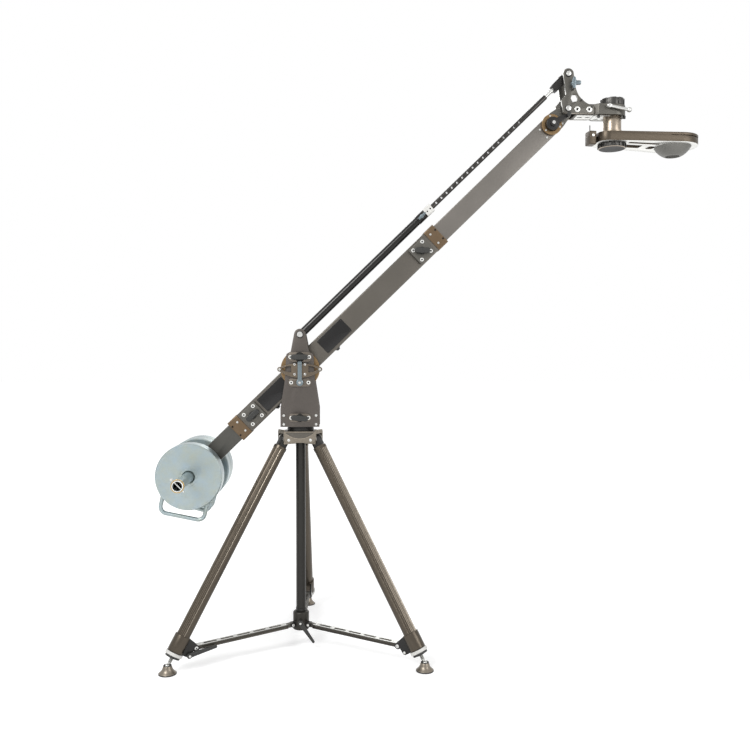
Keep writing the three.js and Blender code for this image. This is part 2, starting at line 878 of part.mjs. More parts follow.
function hubLever() {
  const nearY = -hubRadius - clearance - hubLeverBossLength;
  const tip = [
    hubLeverLength * Math.cos(hubLeverAngle),
    hubLeverHeight + hubLeverLength * Math.sin(hubLeverAngle),
  ];
  const handle = standing(
    taperedBar([0, hubLeverHeight], hubLeverBossRadius, tip, hubLeverTipRadius),
    hubLeverThickness,
    nearY - hubLeverThickness + overrun,
  );
  const boss = roundY(hubLeverBossRadius, 0, hubLeverHeight, [nearY, -hubRadius - clearance]);
  const screwEnd = -columnRadius - 2 * clearance;
  const screw = roundY(leverScrewRadius, 0, hubLeverHeight, [nearY, screwEnd], tinySides);
  return join(handle, boss, screw);
}

// The tower: turntable with a base block, two side plates, and what the near plate carries
function towerBase() {
  const disc = roundZ(turntableRadius, 0, 0, [crownTop + clearance, turntableTop + overrun], fineSides);
  const inner = plateOuterY - plateThickness - clearance;
  const base = block([-blockHalfLength, blockHalfLength], [-inner, inner], [turntableTop, blockTop]);
  return join(disc, base);
}

function towerOutline() {
  const earTop = pivotHeight + linkHeight;
  const rise = earTop - earBaseHeight;
  const reach = Math.hypot(earBaseHalf, rise);
  const lean = Math.atan2(rise, earBaseHalf) - Math.acos(earRadius / reach);
  const right = [
    [plateFootHalf, turntableTop],
    [plateFootHalf, plateFootTop],
    [plateWaistHalf, plateWaistHeight],
    [plateShoulderHalf, plateShoulderHeight],
    [earBaseHalf, earBaseHeight],
  ];
  const left = right.map(([x, z]) => [-x, z]).reverse();
  const ear = arc(0, earTop, earRadius, Math.abs(lean), Math.PI - Math.abs(lean), arcSteps);
  const shape = outline([...right, ...ear, ...left]);
  withHole(shape, 0, pivotHeight, axleRadius + clearance);
  return shape;
}

function towerPlate(nearY, carriesPin) {
  const shape = towerOutline();
  if (!carriesPin) withHole(shape, 0, pivotHeight + linkHeight, earPinRadius + clearance);
  return standing(shape, plateThickness, nearY);
}

function nearTowerPlate() {
  const pillY = -plateOuterY - pillThickness;
  const depth = pillThickness + overrun;
  const upper = pill(upperPillLength, upperPillWidth, depth, pillY, upperPillHeight);
  const lower = pill(lowerPillLength, lowerPillWidth, depth, pillY, lowerPillHeight);
  const pan = pill(panPillLength, panPillWidth, depth, pillY, panPillHeight);
  const inside = [pillY - overrun, -plateOuterY + plateThickness + overrun];
  const holes = [upperPillHeight, panPillHeight].map((z) => holeY(wingStemRadius + clearance, 0, z, inside));
  const leverHole = holeY(brakeLeverPinRadius + clearance, 0, lowerPillHeight, inside);
  return cut(join(towerPlate(-plateOuterY, false), upper, lower, pan), ...holes, leverHole);
}

// The far plate holds the bolt that the levelling rod turns on
function farTowerPlate() {
  const height = pivotHeight + linkHeight;
  const inner = plateOuterY - plateThickness;
  const eye = rodEyeWidth / 2 + clearance;
  const bolt = roundY(earPinRadius, 0, height, [-plateOuterY - clearance - overrun, inner + overrun]);
  const head = roundY(
    earPinHeadRadius,
    0,
    height,
    [-plateOuterY - clearance - earPinHeadLength, -plateOuterY - clearance],
  );
  const farY = [plateOuterY - overrun, plateOuterY + earPinHeadLength];
  const farHead = roundY(earPinHeadRadius, 0, height, farY);
  const spacerFar = roundY(earSpacerRadius, 0, height, [eye, inner + overrun]);
  const spacerNear = roundY(earSpacerRadius, 0, height, [clearance - inner, -eye]);
  return join(towerPlate(inner, true), bolt, head, farHead, spacerFar, spacerNear);
}

function brakeBridge() {
  const tip = bridgeHalfLength - bridgeTipRadius;
  const shape = new THREE.Shape();
  shape.moveTo(-tip, -bridgeTipRadius);
  shape.quadraticCurveTo(0, bridgeTipRadius - 2 * bridgeDrop, tip, -bridgeTipRadius);
  shape.absarc(tip, 0, bridgeTipRadius, -quarterTurn, quarterTurn);
  shape.quadraticCurveTo(0, 2 * bridgeRise - bridgeTipRadius, -tip, bridgeTipRadius);
  shape.absarc(-tip, 0, bridgeTipRadius, quarterTurn, 3 * quarterTurn);
  for (const side of [-1, 1]) {
    const corners = [
      [side * windowNear, windowHalfHeight],
      [side * windowFar, 0],
      [side * windowNear, -windowHalfHeight],
    ];
    if (side < 0) corners.reverse();
    shape.holes.push(new THREE.Path(corners.map(([x, y]) => new THREE.Vector2(x, y))));
  }
  const nearY = -plateOuterY - clearance - bridgeThickness;
  const bridge = standing(shape, bridgeThickness, nearY).translate(0, 0, pivotHeight);
  const relief = block(
    [-upperPillLength / 2 - clearance, upperPillLength / 2 + clearance],
    [-plateOuterY - pillThickness - clearance, -plateOuterY],
    [upperPillHeight - upperPillWidth / 2 - clearance, pivotHeight + 2 * bridgeRise],
  );
  return cut(bridge, relief);
}

function brakeLever() {
  const nearY = -plateOuterY - clearance - bridgeThickness - brakeLeverGap - brakeLeverThickness;
  const foot = lowerPillHeight;
  const top = upperPillHeight - wingHubRadius - brakeLeverKnobGap - brakeLeverWidth / 2;
  const middle = (top + foot) / 2;
  const length = top - foot + brakeLeverWidth;
  const shape = roundedRectangle(brakeLeverWidth, length, brakeLeverWidth / 2 - clearance);
  const bar = standing(shape, brakeLeverThickness, nearY).translate(0, 0, middle);
  const seat = -plateOuterY - pillThickness - clearance;
  const boss = roundY(brakeLeverHubRadius, 0, foot, [nearY, seat]);
  const pinEnd = clearance - plateOuterY + plateThickness - overrun;
  const pin = roundY(brakeLeverPinRadius, 0, foot, [nearY, pinEnd]);
  return join(bar, boss, pin);
}

// A wing knob about the origin: its wings lie along X, its screw runs back to screwEnd
function wingKnob(length, nearY, seat, screwEnd, turn) {
  const shape = roundedRectangle(length, wingWidth, wingWidth / 2 - clearance);
  const wings = standing(shape, wingThickness, nearY);
  const hub = roundY(wingHubRadius, 0, 0, [nearY - (wingHubThickness - wingThickness), seat]);
  const screw = roundY(wingStemRadius, 0, 0, [seat - overrun, screwEnd]);
  return join(wings, hub, screw).rotateY(turn);
}

function towerKnob(z, turn) {
  const seat = -plateOuterY - pillThickness - clearance;
  const screwEnd = -plateOuterY + plateThickness - overrun;
  return wingKnob(wingLength, towerWingY, seat, screwEnd, turn).translate(0, 0, z);
}

// The boom's own pieces, along X from the tilt pivot
function trunnion() {
  const half = centreTubeWidth / 2 + clearance;
  const parts = [];
  for (const side of [-1, 1]) {
    const limits = [side * half, side * (half + brakeDiscThickness)].sort((a, b) => a - b);
    parts.push(roundY(brakeDiscRadius, 0, 0, limits, fineSides));
  }
  const end = plateOuterY - clearance;
  return join(roundY(axleRadius, 0, 0, [-end, end], midSides), ...parts);
}

function rectangularTube(height, width, wall, [start, end]) {
  const section = outline([
    [-width / 2, -height / 2],
    [width / 2, -height / 2],
    [width / 2, height / 2],
    [-width / 2, height / 2],
  ]);
  const hollow = [
    [wall - width / 2, wall - height / 2],
    [wall - width / 2, height / 2 - wall],
    [width / 2 - wall, height / 2 - wall],
    [width / 2 - wall, wall - height / 2],
  ];
  section.holes.push(new THREE.Path(hollow.map(([x, y]) => new THREE.Vector2(x, y))));
  const tube = new THREE.ExtrudeGeometry(section, { depth: end - start, bevelEnabled: false });
  return tube.rotateX(quarterTurn).rotateZ(quarterTurn).translate(start, 0, 0);
}

function centreTube() {
  const ends = [centreTubeRear + collarLip + clearance, centreTubeFront - collarLip - clearance];
  const tube = rectangularTube(centreTubeHeight, centreTubeWidth, centreTubeWall, ends);
  const across = [-centreTubeWidth, centreTubeWidth];
  return cut(tube, holeY(axleRadius + clearance, 0, 0, across, midSides));
}

function collar(start, lipStart) {
  const height = centreTubeHeight + 2 * collarProud;
  const width = centreTubeWidth + 2 * collarProud;
  const body = block([start, start + collarLength], [-width / 2, width / 2], [-height / 2, height / 2]);
  const seat = lipStart
    ? [start + collarLip, start + collarLength + overrun]
    : [start - overrun, start + collarLength - collarLip];
  const tubeHalf = [centreTubeWidth / 2 + clearance, centreTubeHeight / 2 + clearance];
  const outer = block(seat, [-tubeHalf[0], tubeHalf[0]], [-tubeHalf[1], tubeHalf[1]]);
  const armHalf = [innerTubeWidth / 2 + clearance, innerTubeHeight / 2 + clearance];
  const inner = block(
    [start - overrun, start + collarLength + overrun],
    [-armHalf[0], armHalf[0]],
    [-armHalf[1], armHalf[1]],
  );
  return cut(body, outer, inner);
}

function clampPlate(place) {
  const nearY = -centreTubeWidth / 2 - clearance - clampPlateThickness;
  const shape = roundedRectangle(clampPlateLength, clampPlateHeight, clampPlateCorner);
  withHole(shape, 0, 0, wingStemRadius + clearance);
  return standing(shape, clampPlateThickness, nearY).translate(place, 0, 0);
}

function clampKnob(place, turn) {
  const seat = -centreTubeWidth / 2 - 2 * clearance - clampPlateThickness;
  const nearY = seat - clampWingGap - wingThickness;
  const screwEnd = -centreTubeWidth / 2 - clearance;
  return wingKnob(clampWingLength, nearY, seat, screwEnd, turn).translate(place, 0, 0);
}

// The end of the front arm: a plug in the tube, a tongue and the main axle of the head
function boomEnd() {
  const spigotHalfY = innerTubeWidth / 2 - innerTubeWall - endSpigotGap;
  const spigotHalfZ = innerTubeHeight / 2 - innerTubeWall - endSpigotGap;
  const start = frontTubeEnd + clearance;
  const spigot = block(
    [frontTubeEnd - endSpigotLength, start + overrun],
    [-spigotHalfY, spigotHalfY],
    [-spigotHalfZ, spigotHalfZ],
  );
  const half = innerTubeHeight / 2;
  const tongue = outline([
    [start, -half],
    ...arc(mainPivotReach, 0, endTongueRadius, -quarterTurn, quarterTurn, arcSteps),
    [start, half],
  ]);
  const body = standing(tongue, endTongueWidth, -endTongueWidth / 2);
  const spacerHalf = headInner - clearance;
  const spacer = roundY(endSpacerRadius, mainPivotReach, 0, [-spacerHalf, spacerHalf], midSides);
  const outer = headInner + headPlateThickness + clearance;
  const axle = roundY(mainAxleRadius, mainPivotReach, 0, [-outer - overrun, outer + overrun]);
  const nearHead = roundY(mainHeadRadius, mainPivotReach, 0, [-outer - mainHeadLength, -outer]);
  const farHead = roundY(mainHeadRadius, mainPivotReach, 0, [outer, outer + mainHeadLength]);
  return join(spigot, body, spacer, axle, nearHead, farHead);
}

function headLockDisc() {
  const shape = outline(arc(0, 0, lockRingRadius, 0, fullTurn, midSides).slice(1));
  withHole(shape, 0, 0, lockRingInner, midSides);
  const nearY = -innerTubeWidth / 2 - clearance - lockRingThickness;
  return standing(shape, lockRingThickness, nearY).translate(lockPlace, 0, 0);
}

function headLockLever() {
  const back = -innerTubeWidth / 2 - clearance;
  const near = back - lockLeverHubThickness;
  const hub = roundY(lockRingInner - clearance, 0, 0, [near, back], midSides);
  const armY = -headInner - headPlateThickness - clearance - mainHeadLength - clearance;
  const shape = taperedBar([0, 0], lockRingInner / 2, [lockKnobAlong, -lockKnobDown], lockLeverWidth / 2);
  const arm = standing(shape, lockLeverThickness, armY - lockLeverThickness);
  const neck = roundY(lockRingInner / 2, 0, 0, [armY - lockLeverThickness / 2, near + overrun]);
  const knobY = [armY - lockKnobLength, armY - lockLeverThickness / 2];
  const knob = roundY(lockKnobRadius, lockKnobAlong, -lockKnobDown, knobY);
  return join(hub, neck, arm, knob).translate(lockPlace, 0, 0);
}

// The levelling rod, along X from its bolt in the tower's ears
function rodOuter() {
  const eye = roundY(rodEyeRadius, 0, 0, [-rodEyeWidth / 2, rodEyeWidth / 2], midSides);
  const start = rodEyeRadius / 2;
  const tube = roundX(rodRadius, 0, 0, [start, rodOuterEnd], midSides);
  const bore = roundX(rodBore, 0, 0, [2 * rodEyeRadius, rodOuterEnd + overrun], midSides);
  const boltHole = holeY(earPinRadius + clearance, 0, 0, [-rodEyeWidth, rodEyeWidth]);
  const boss = roundY(pinBossRadius, pinBossPlace, 0, [-pinBossReach, -rodBore]);
  const pinHole = holeY(pinRadius + clearance, pinBossPlace, 0, [-pinBossReach - overrun, 0], tinySides);
  return cut(join(eye, tube, boss), bore, boltHole, pinHole);
}

function rodBush() {
  const shape = roundedRectangle(bushSize, bushSize, bushCorner);
  withHole(shape, 0, 0, rodInnerRadius + clearance);
  const bush = lying(shape, bushLength, bushStart);
  return bush.rotateX(quarterTurn).rotateZ(quarterTurn);
}

function rodInner() {
  const bar = roundX(rodInnerRadius, 0, 0, [rodInnerStart, rodInnerEnd], tinySides);
  const stud = roundX(studRadius, 0, 0, [rodInnerEnd - overrun, forkBack - clearance], smallSides);
  const holes = [];
  for (let x = rodHoleFirst; x < rodInnerEnd - rodBareLength; x += rodHolePitch) {
    holes.push(roundY(rodHoleRadius, x, 0, [-2 * rodInnerRadius, 2 * rodInnerRadius], leastSides));
  }
  return cut(join(bar, stud), ...holes);
}

function rodPin() {
  const seat = -pinBossReach - clearance;
  const head = roundY(pinHeadRadius, pinBossPlace, 0, [seat - pinHeadLength, seat]);
  const plungerY = [seat - overrun, -rodInnerRadius - clearance];
  const plunger = roundY(pinRadius, pinBossPlace, 0, plungerY, tinySides);
  const wing = standing(
    roundedRectangle(pinWingLength, pinWingWidth, pinWingWidth / 2 - clearance),
    pinWingWidth,
    seat - pinHeadLength,
  );
  return join(head, plunger, wing.translate(pinBossPlace, 0, 0));
}

function rodFork() {
  const shape = outline([
    [forkBack, -forkHeight / 2],
    ...arc(mainPivotReach, 0, forkEyeRadius, -quarterTurn, quarterTurn, arcSteps),
    [forkBack, forkHeight / 2],
  ]);
  const body = standing(shape, forkWidth, -forkWidth / 2);
  const spacerHalf = headInner - clearance;
  const spacer = roundY(earSpacerRadius, mainPivotReach, 0, [-spacerHalf, spacerHalf]);
  const outer = headInner + headPlateThickness + clearance;
  const axle = roundY(forkAxleRadius, mainPivotReach, 0, [-outer - overrun, outer + overrun]);
  const nearHead = roundY(mainHeadRadius, mainPivotReach, 0, [-outer - mainHeadLength, -outer]);
  const farHead = roundY(mainHeadRadius, mainPivotReach, 0, [outer, outer + mainHeadLength]);
  return join(body, spacer, axle, nearHead, farHead);
}

// Head plates and block, measured from the main pivot
function headOutline() {
  const shape = new THREE.Shape();
  shape.moveTo(headHeelX, headHeelZ);
  shape.quadraticCurveTo(headHeelX, headBottomZ, headBottomX, headBottomZ);
  shape.lineTo(headToeX, headBottomZ);
  shape.lineTo(headToeX, headToeZ);
  shape.quadraticCurveTo((headBayX + headToeX) / 2, headToeZ, headBayX, headBayZ);
  shape.quadraticCurveTo(headNeckX, (headBayZ + headNeckZ) / 2, headNeckX, headNeckZ);
  shape.lineTo(headTopRadius, linkHeight);
  shape.absarc(0, linkHeight, headTopRadius, 0, Math.PI);
  shape.lineTo(headNotchX, headNotchZ);
  shape.lineTo(headHipX, headHipZ);
  shape.closePath();
  withHole(shape, 0, 0, mainAxleRadius + clearance);
  withHole(shape, 0, linkHeight, forkAxleRadius + clearance);
  const window = arc(headWindowX, headWindowZ, headWindowRadius, fullTurn, 0, headWindowSides);
  shape.holes.push(new THREE.Path(window.slice(1).map(([x, y]) => new THREE.Vector2(x, y))));
  return shape;
}

function headPlate(side) {
  const shape = headOutline();
  if (side < 0) withHole(shape, headPinX, headPinZ, headPinRadius + clearance);
  const outer = headInner + headPlateThickness;
  const plate = standing(shape, headPlateThickness, side < 0 ? -outer : headInner);
  const bolts = [0, headBoltGap].map((gap) => {
    const limits = [side * (outer - overrun), side * (outer + headBoltLength)].sort((a, b) => a - b);
    return roundY(headBoltRadius, headBoltX + gap, headBoltZ, limits);
  });
  return join(plate, ...bolts);
}

function headPin() {
  const outer = headInner + headPlateThickness + clearance;
  const head = roundY(headPinHeadRadius, headPinX, headPinZ, [-outer - headPinHeadLength, -outer]);
  const shank = roundY(headPinRadius, headPinX, headPinZ, [-outer - overrun, -headPinReach], tinySides);
  const barY = -outer - headPinHeadLength + headPinBarRadius;
  const barHalf = headPinBarLength / 2;
  const bar = roundX(headPinBarRadius, barY, headPinZ, [headPinX - barHalf, headPinX + barHalf]);
  return join(head, shank, bar);
}

function headBlock() {
  const neck = headInner - clearance;
  const plan = outline([
    [headBlockStart, -neck],
    [headBlockNeckEnd, -neck],
    [headBlockNeckEnd + headBlockHalf - neck, -headBlockHalf],
    ...arc(riserAxis, 0, headBlockHalf, -quarterTurn, quarterTurn, arcSteps),
    [headBlockNeckEnd + headBlockHalf - neck, headBlockHalf],
    [headBlockNeckEnd, neck],
    [headBlockStart, neck],
  ]);
  withHole(plan, riserAxis, 0, spigotRadius + clearance, midSides);
  const body = lying(plan, 2 * blockHalfHeight, -blockHalfHeight);
  const leverHole = holeY(
    leverScrewRadius + clearance,
    riserAxis - riserLeverBack,
    riserLeverUp,
    [-headBlockHalf - overrun, -headBlockHalf + riserLeverBossLength],
    tinySides,
  );
  const pocketHalf = neck - headPocketWall;
  const pocket = block(
    [headBlockStart + headPocketWall, headBlockNeckEnd],
    [-pocketHalf, pocketHalf],
    [-blockHalfHeight - overrun, 0],
  );
  return cut(body, leverHole, pocket);
}

function castleNut(radius, bottom, height) {
  const ring = turned([
    [spigotRadius + clearance, bottom],
    [radius, bottom],
    [radius, bottom + height],
    [spigotRadius + clearance, bottom + height],
  ]);
  const notches = [];
  for (let i = 0; i < nutNotchCount; i += 1) {
    const notch = block(
      [radius - nutNotchDepth, radius + overrun],
      [-nutNotchWidth / 2, nutNotchWidth / 2],
      [bottom - overrun, bottom + height + overrun],
    );
    notches.push(notch.rotateZ((i * fullTurn) / nutNotchCount));
  }
  return cut(ring, ...notches);
}

// The bracket, about the riser's axis, with heights from the main pivot
const riserTop = -blockHalfHeight - clearance;
const riserBottom = riserTop - riserLength;
const bracketTop = riserBottom - clearance;
const bracketBottom = bracketTop - armThickness;
const nutLowTop = bracketBottom - clearance;

function riser() {
  const top = blockHalfHeight + nutTopHeight + overrun;
  const bottom = nutLowTop - nutLowHeight - overrun;
  return turned([
    [0, bottom],
    [spigotRadius, bottom],
    [spigotRadius, riserBottom],
    [riserFlangeRadius, riserBottom],
    [riserFlangeRadius, riserBottom + riserFlangeHeight],
    [riserRadius, riserBottom + riserFlangeHeight],
    [riserRadius, riserTop],
    [spigotRadius, riserTop],
    [spigotRadius, top],
    [0, top],
  ]);
}

function bracketPlan() {
  const corner = armRootHalf - armRootCorner;
  const left = armRootCorner - armRootReach;
  const flare = Math.asin((armRoundRadius - armRootHalf) / (bowlOffset - left));
  return outline([
    ...arc(left, corner, armRootCorner, quarterTurn, 2 * quarterTurn, cornerSteps),
    ...arc(left, -corner, armRootCorner, 2 * quarterTurn, 3 * quarterTurn, cornerSteps),
    ...arc(bowlOffset, 0, armRoundRadius, -quarterTurn - flare, quarterTurn + flare, midSides),
  ]);
}

function bowlCup(radius, extra) {
  const rim = Math.asin(bowlDepth / radius);
  return [
    [0, bracketTop - bowlDepth - extra],
    [Math.cos(rim) * radius, bracketTop - bowlDepth - extra],
    ...arc(0, bracketTop, radius, -rim, 0, bowlSteps).slice(1),
    [radius, bracketTop + extra],
    [0, bracketTop + extra],
  ];
}

function offsetArm() {
  const plate = lying(bracketPlan(), armThickness, bracketBottom);
  const seat = turned(bowlCup(bowlRadius + clearance, overrun), fineSides).translate(bowlOffset, 0, 0);
  const through = [bracketBottom - overrun, bracketTop + overrun];
  const spigotHole = roundZ(spigotRadius + clearance, 0, 0, through, midSides);
  const tabEnd = -armRootReach - tabBossLength;
  const middle = (bracketTop + bracketBottom) / 2;
  const boss = roundX(tabBossRadius, 0, middle, [tabEnd - overrun, overrun - armRootReach]);
  const tab = block(
    [tabEnd - tabLength, tabEnd],
    [-tabWidth / 2, tabWidth / 2],
    [bracketBottom - (tabHeight - armThickness) / 2, bracketTop + (tabHeight - armThickness) / 2],
  );
  return cut(join(plate, boss, tab), seat, spigotHole);
}

function bowl() {
  const outerRim = Math.asin(bowlDepth / bowlRadius);
  const innerRim = Math.acos(bowlHoleRadius / bowlInner);
  return turned([
    [bowlHoleRadius, bracketTop - bowlDepth],
    ...arc(0, bracketTop, bowlRadius, -outerRim, 0, bowlSteps),
    ...arc(0, bracketTop, bowlInner, 0, -innerRim, bowlSteps),
  ], fineSides).translate(bowlOffset, 0, 0);
}

function riserLever() {
  const seat = -headBlockHalf - clearance;
  const near = seat - riserLeverBossLength;
  const boss = roundY(riserLeverBossRadius, 0, 0, [near, seat]);
  const screw = roundY(leverScrewRadius, 0, 0, [near, seat + riserLeverBossLength / 2], tinySides);
  const rodY = near + riserLeverRadius;
  const rod = roundX(riserLeverRadius, rodY, 0, [0, riserLeverLength]);
  const ball = new THREE.SphereGeometry(riserLeverBall, smallSides, tinySides);
  ball.translate(riserLeverLength, rodY, 0);
  const lever = join(boss, screw, rod, ball).rotateY(-riserLeverAngle);
  return lever.translate(riserAxis - riserLeverBack, 0, riserLeverUp);
}

// The low end of the boom
function rearTube() {
  const tube = rectangularTube(innerTubeHeight, innerTubeWidth, innerTubeWall, [rearTubeEnd, rearTubeStart]);
  const across = [-innerTubeWidth, innerTubeWidth];
  return cut(tube, holeY(weightBarRadius + clearance, weightBarPlace, 0, across, midSides));
}

function weightBar() {
  const bar = turned([
    [weightBarBore, -weightBarHalf],
    [weightBarRadius, -weightBarHalf],
    [weightBarRadius, weightBarHalf],
    [weightBarBore, weightBarHalf],
  ]).rotateX(quarterTurn);
  const hubs = [-1, 1].map((side) => {
    const limits = [side * (innerTubeWidth / 2 + clearance), side * weightHubEnd].sort((a, b) => a - b);
    return roundY(weightHubRadius, 0, 0, limits, midSides);
  });
  const bore = roundY(weightBarBore, 0, 0, [-weightBarHalf - overrun, weightBarHalf + overrun], midSides);
  const reach = 2 * weightBarRadius;
  const holes = [-1, 1].map((side) => {
    return holeZ(hitchPinRadius + clearance, 0, side * hitchPinPlace, [-reach, reach], tinySides);
  });
  return cut(join(bar, ...hubs), bore, ...holes).translate(weightBarPlace, 0, 0);
}

// A disc about the origin with its faces square to Y and a handle of bent rod below it
function weightDisc(turn) {
  const half = discThickness / 2;
  const bore = weightBarRadius + discBoreGap;
  const disc = turned([
    [bore, -half],
    [discRadius - discChamfer, -half],
    [discRadius, discChamfer - half],
    [discRadius, half - discChamfer],
    [discRadius - discChamfer, half],
    [bore, half],
  ], fineSides).rotateX(quarterTurn);
  const path = new THREE.CurvePath();
  const side = handleHalfWidth;
  const low = -handleDrop;
  const points = [
    new THREE.Vector3(-side, 0, -handleRoot),
    new THREE.Vector3(-side, 0, low + handleCorner),
    new THREE.Vector3(-side, 0, low),
    new THREE.Vector3(handleCorner - side, 0, low),
    new THREE.Vector3(side - handleCorner, 0, low),
    new THREE.Vector3(side, 0, low),
    new THREE.Vector3(side, 0, low + handleCorner),
    new THREE.Vector3(side, 0, -handleRoot),
  ];
  path.add(new THREE.LineCurve3(points[0], points[1]));
  path.add(new THREE.QuadraticBezierCurve3(points[1], points[2], points[3]));
  path.add(new THREE.LineCurve3(points[3], points[4]));
  path.add(new THREE.QuadraticBezierCurve3(points[4], points[5], points[6]));
  path.add(new THREE.LineCurve3(points[6], points[7]));
  const section = outline(arc(0, 0, handleRodRadius, 0, fullTurn, leastSides).slice(1));
  const handle = new THREE.ExtrudeGeometry(section, { steps: handleSteps, extrudePath: path });
  return join(disc, handle).rotateY(-turn);
}

function hitchPin() {
  const half = hitchPinLength / 2;
  const pin = roundZ(hitchPinRadius, 0, 0, [-half, half], tinySides);
  const clip = roundX(hitchClipRadius, 0, half, [-hitchClipLength / 2, hitchClipLength / 2], tinySides);
  return join(pin, clip);
}

// Assembly
function addLeg(tripod, index) {
  const number = index + 1;
  const plane = group(tripod, 0, 0, 0);
  plane.rotation.z = legAzimuth(index);
  const axis = group(plane, legHingeRadius, 0, legHingeHeight);
  axis.rotation.y = -legSplay;
  piece(axis, "leg_" + number, leg(), "bronzeGrey");
  piece(axis, "foot_screw_" + number, footScrew(), "blackPlastic");
  piece(axis, "leg_lever_" + number, legLever(), "blackPlastic");
  const footRadius = legHingeRadius + (legHingeHeight - ballHeight) * Math.tan(legSplay);
  piece(plane, "foot_pad_" + number, footPad().translate(footRadius, 0, 0), "bronzeGrey");
  const [radius, height] = lugPivot();
  const arm = group(plane, hubPivotRadius, 0, hubPivotHeight);
  arm.rotation.y = Math.atan2(hubPivotHeight - height, radius - hubPivotRadius);
  const length = Math.hypot(hubPivotHeight - height, radius - hubPivotRadius);
  piece(arm, "spreader_arm_" + number, spreaderArm(length), "darkGrey");
}

function addTower(crane) {
  piece(crane, "tower_base", towerBase(), "blackMetal");
  piece(crane, "tower_plate_near", nearTowerPlate(), "towerGrey");
  piece(crane, "tower_plate_far", farTowerPlate(), "towerGrey");
  piece(crane, "brake_bridge", brakeBridge(), "towerGrey");
  piece(crane, "brake_lever", brakeLever(), "blueSteel");
  piece(crane, "tilt_knob", towerKnob(upperPillHeight, 0), "blackPlastic");
  piece(crane, "pan_knob", towerKnob(panPillHeight, panWingTilt), "blackPlastic");
}

function addBoom(crane) {
  const boom = group(crane, 0, 0, pivotHeight);
  boom.rotation.y = -boomAngle;
  piece(boom, "trunnion", trunnion(), "discBronze");
  piece(boom, "centre_tube", centreTube(), "bronzeGrey");
  piece(boom, "front_collar", collar(centreTubeFront - collarLength, false), "collarBronze");
  piece(boom, "rear_collar", collar(centreTubeRear, true), "collarBronze");
  piece(boom, "front_clamp_plate", clampPlate(frontClampPlace), "darkGrey");
  piece(boom, "rear_clamp_plate", clampPlate(rearClampPlace), "darkGrey");
  piece(boom, "front_clamp_knob", clampKnob(frontClampPlace, boomAngle), "blackPlastic");
  piece(boom, "rear_clamp_knob", clampKnob(rearClampPlace, 0), "blackPlastic");
  const reach = [frontTubeStart, frontTubeEnd];
  const frontTube = rectangularTube(innerTubeHeight, innerTubeWidth, innerTubeWall, reach);
  piece(boom, "front_tube", frontTube, "darkGrey");
  piece(boom, "boom_end", boomEnd(), "darkGrey");
  piece(boom, "head_lock_disc", headLockDisc(), "discBronze");
  piece(boom, "head_lock_lever", headLockLever(), "blackMetal");
  piece(boom, "rear_tube", rearTube(), "darkGrey");
  piece(boom, "weight_bar", weightBar(), "zinc");
}

function addRod(crane) {
  const rod = group(crane, 0, 0, pivotHeight + linkHeight);
  rod.rotation.y = -boomAngle;
  piece(rod, "rod_outer", rodOuter(), "blackMetal");
  piece(rod, "rod_bush", rodBush(), "whitePlastic");
  piece(rod, "rod_inner", rodInner(), "darkGrey");
  piece(rod, "rod_pin", rodPin(), "blueSteel");
  piece(rod, "rod_fork", rodFork(), "blackMetal");
}

function addHead(crane) {
  const x = mainPivotReach * Math.cos(boomAngle);
  const z = pivotHeight + mainPivotReach * Math.sin(boomAngle);
  const head = group(crane, x, 0, z);
  piece(head, "head_plate_near", headPlate(-1), "darkGrey");
  piece(head, "head_plate_far", headPlate(1), "darkGrey");
  piece(head, "head_pin", headPin(), "blueSteel");
  piece(head, "head_block", headBlock(), "darkGrey");
  piece(head, "riser_lever", riserLever(), "zinc");
  const bracket = group(head, riserAxis, 0, 0);
  bracket.rotation.z = bracketTurn;
  const nutTopBottom = blockHalfHeight + clearance;
  piece(bracket, "castle_nut_top", castleNut(nutTopRadius, nutTopBottom, nutTopHeight), "bronzeGrey");
  piece(bracket, "riser", riser(), "champagne");
  const lowNut = castleNut(nutLowRadius, nutLowTop - nutLowHeight, nutLowHeight);
  piece(bracket, "castle_nut_bottom", lowNut, "bronzeGrey");
  piece(bracket, "offset_arm", offsetArm(), "bracketBronze");
  piece(bracket, "bowl", bowl(), "bronzeGrey");
}

function addWeights(crane) {
  const x = weightBarPlace * Math.cos(boomAngle);
  const z = pivotHeight + weightBarPlace * Math.sin(boomAngle);
  const firstFace = weightHubEnd + clearance;
  const step = discThickness + clearance;
  const middle = firstFace + discThickness / 2;
  const near = group(crane, x, -middle, z);
  piece(near, "weight_disc_1", weightDisc(nearHandleTurn), "zinc");
  const far = group(crane, x, middle, z);
  piece(far, "weight_disc_2", weightDisc(farHandleTurn), "zinc");
  const last = group(crane, x, middle + step, z);
  piece(last, "weight_disc_3", weightDisc(farHandleTurn), "zinc");
  const pinNear = group(crane, x, -hitchPinPlace, z);
  pinNear.rotation.y = -boomAngle;
  piece(pinNear, "hitch_pin_near", hitchPin(), "zinc");
  const pinFar = group(crane, x, hitchPinPlace, z);
  pinFar.rotation.y = -boomAngle;
  piece(pinFar, "hitch_pin_far", hitchPin(), "zinc");
}

const crane = new THREE.Group();
const root = new THREE.Group();
crane.add(root);
piece(root, "crown", crown(), "bronzeGrey");
piece(root, "centre_column", centreColumn(), "darkGrey");
piece(root, "spreader_hub", spreaderHub(), "darkGrey");
piece(root, "hub_lever", hubLever(), "blackPlastic");
for (let i = 0; i < legCount; i += 1) addLeg(root, i);
addTower(root);
addBoom(root);
addRod(root);
addHead(root);
addWeights(root);

// The origin is the middle of the crane's box, at the floor
crane.updateMatrixWorld(true);
const bounds = new THREE.Box3().setFromObject(crane, true);
const middle = bounds.getCenter(new THREE.Vector3());
root.position.set(-middle.x, -middle.y, -bounds.min.z);

export default crane;
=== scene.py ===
"""Camera jib crane: the visual pieces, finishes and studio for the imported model."""

import json
import math

import bpy
from mathutils import Matrix, Vector

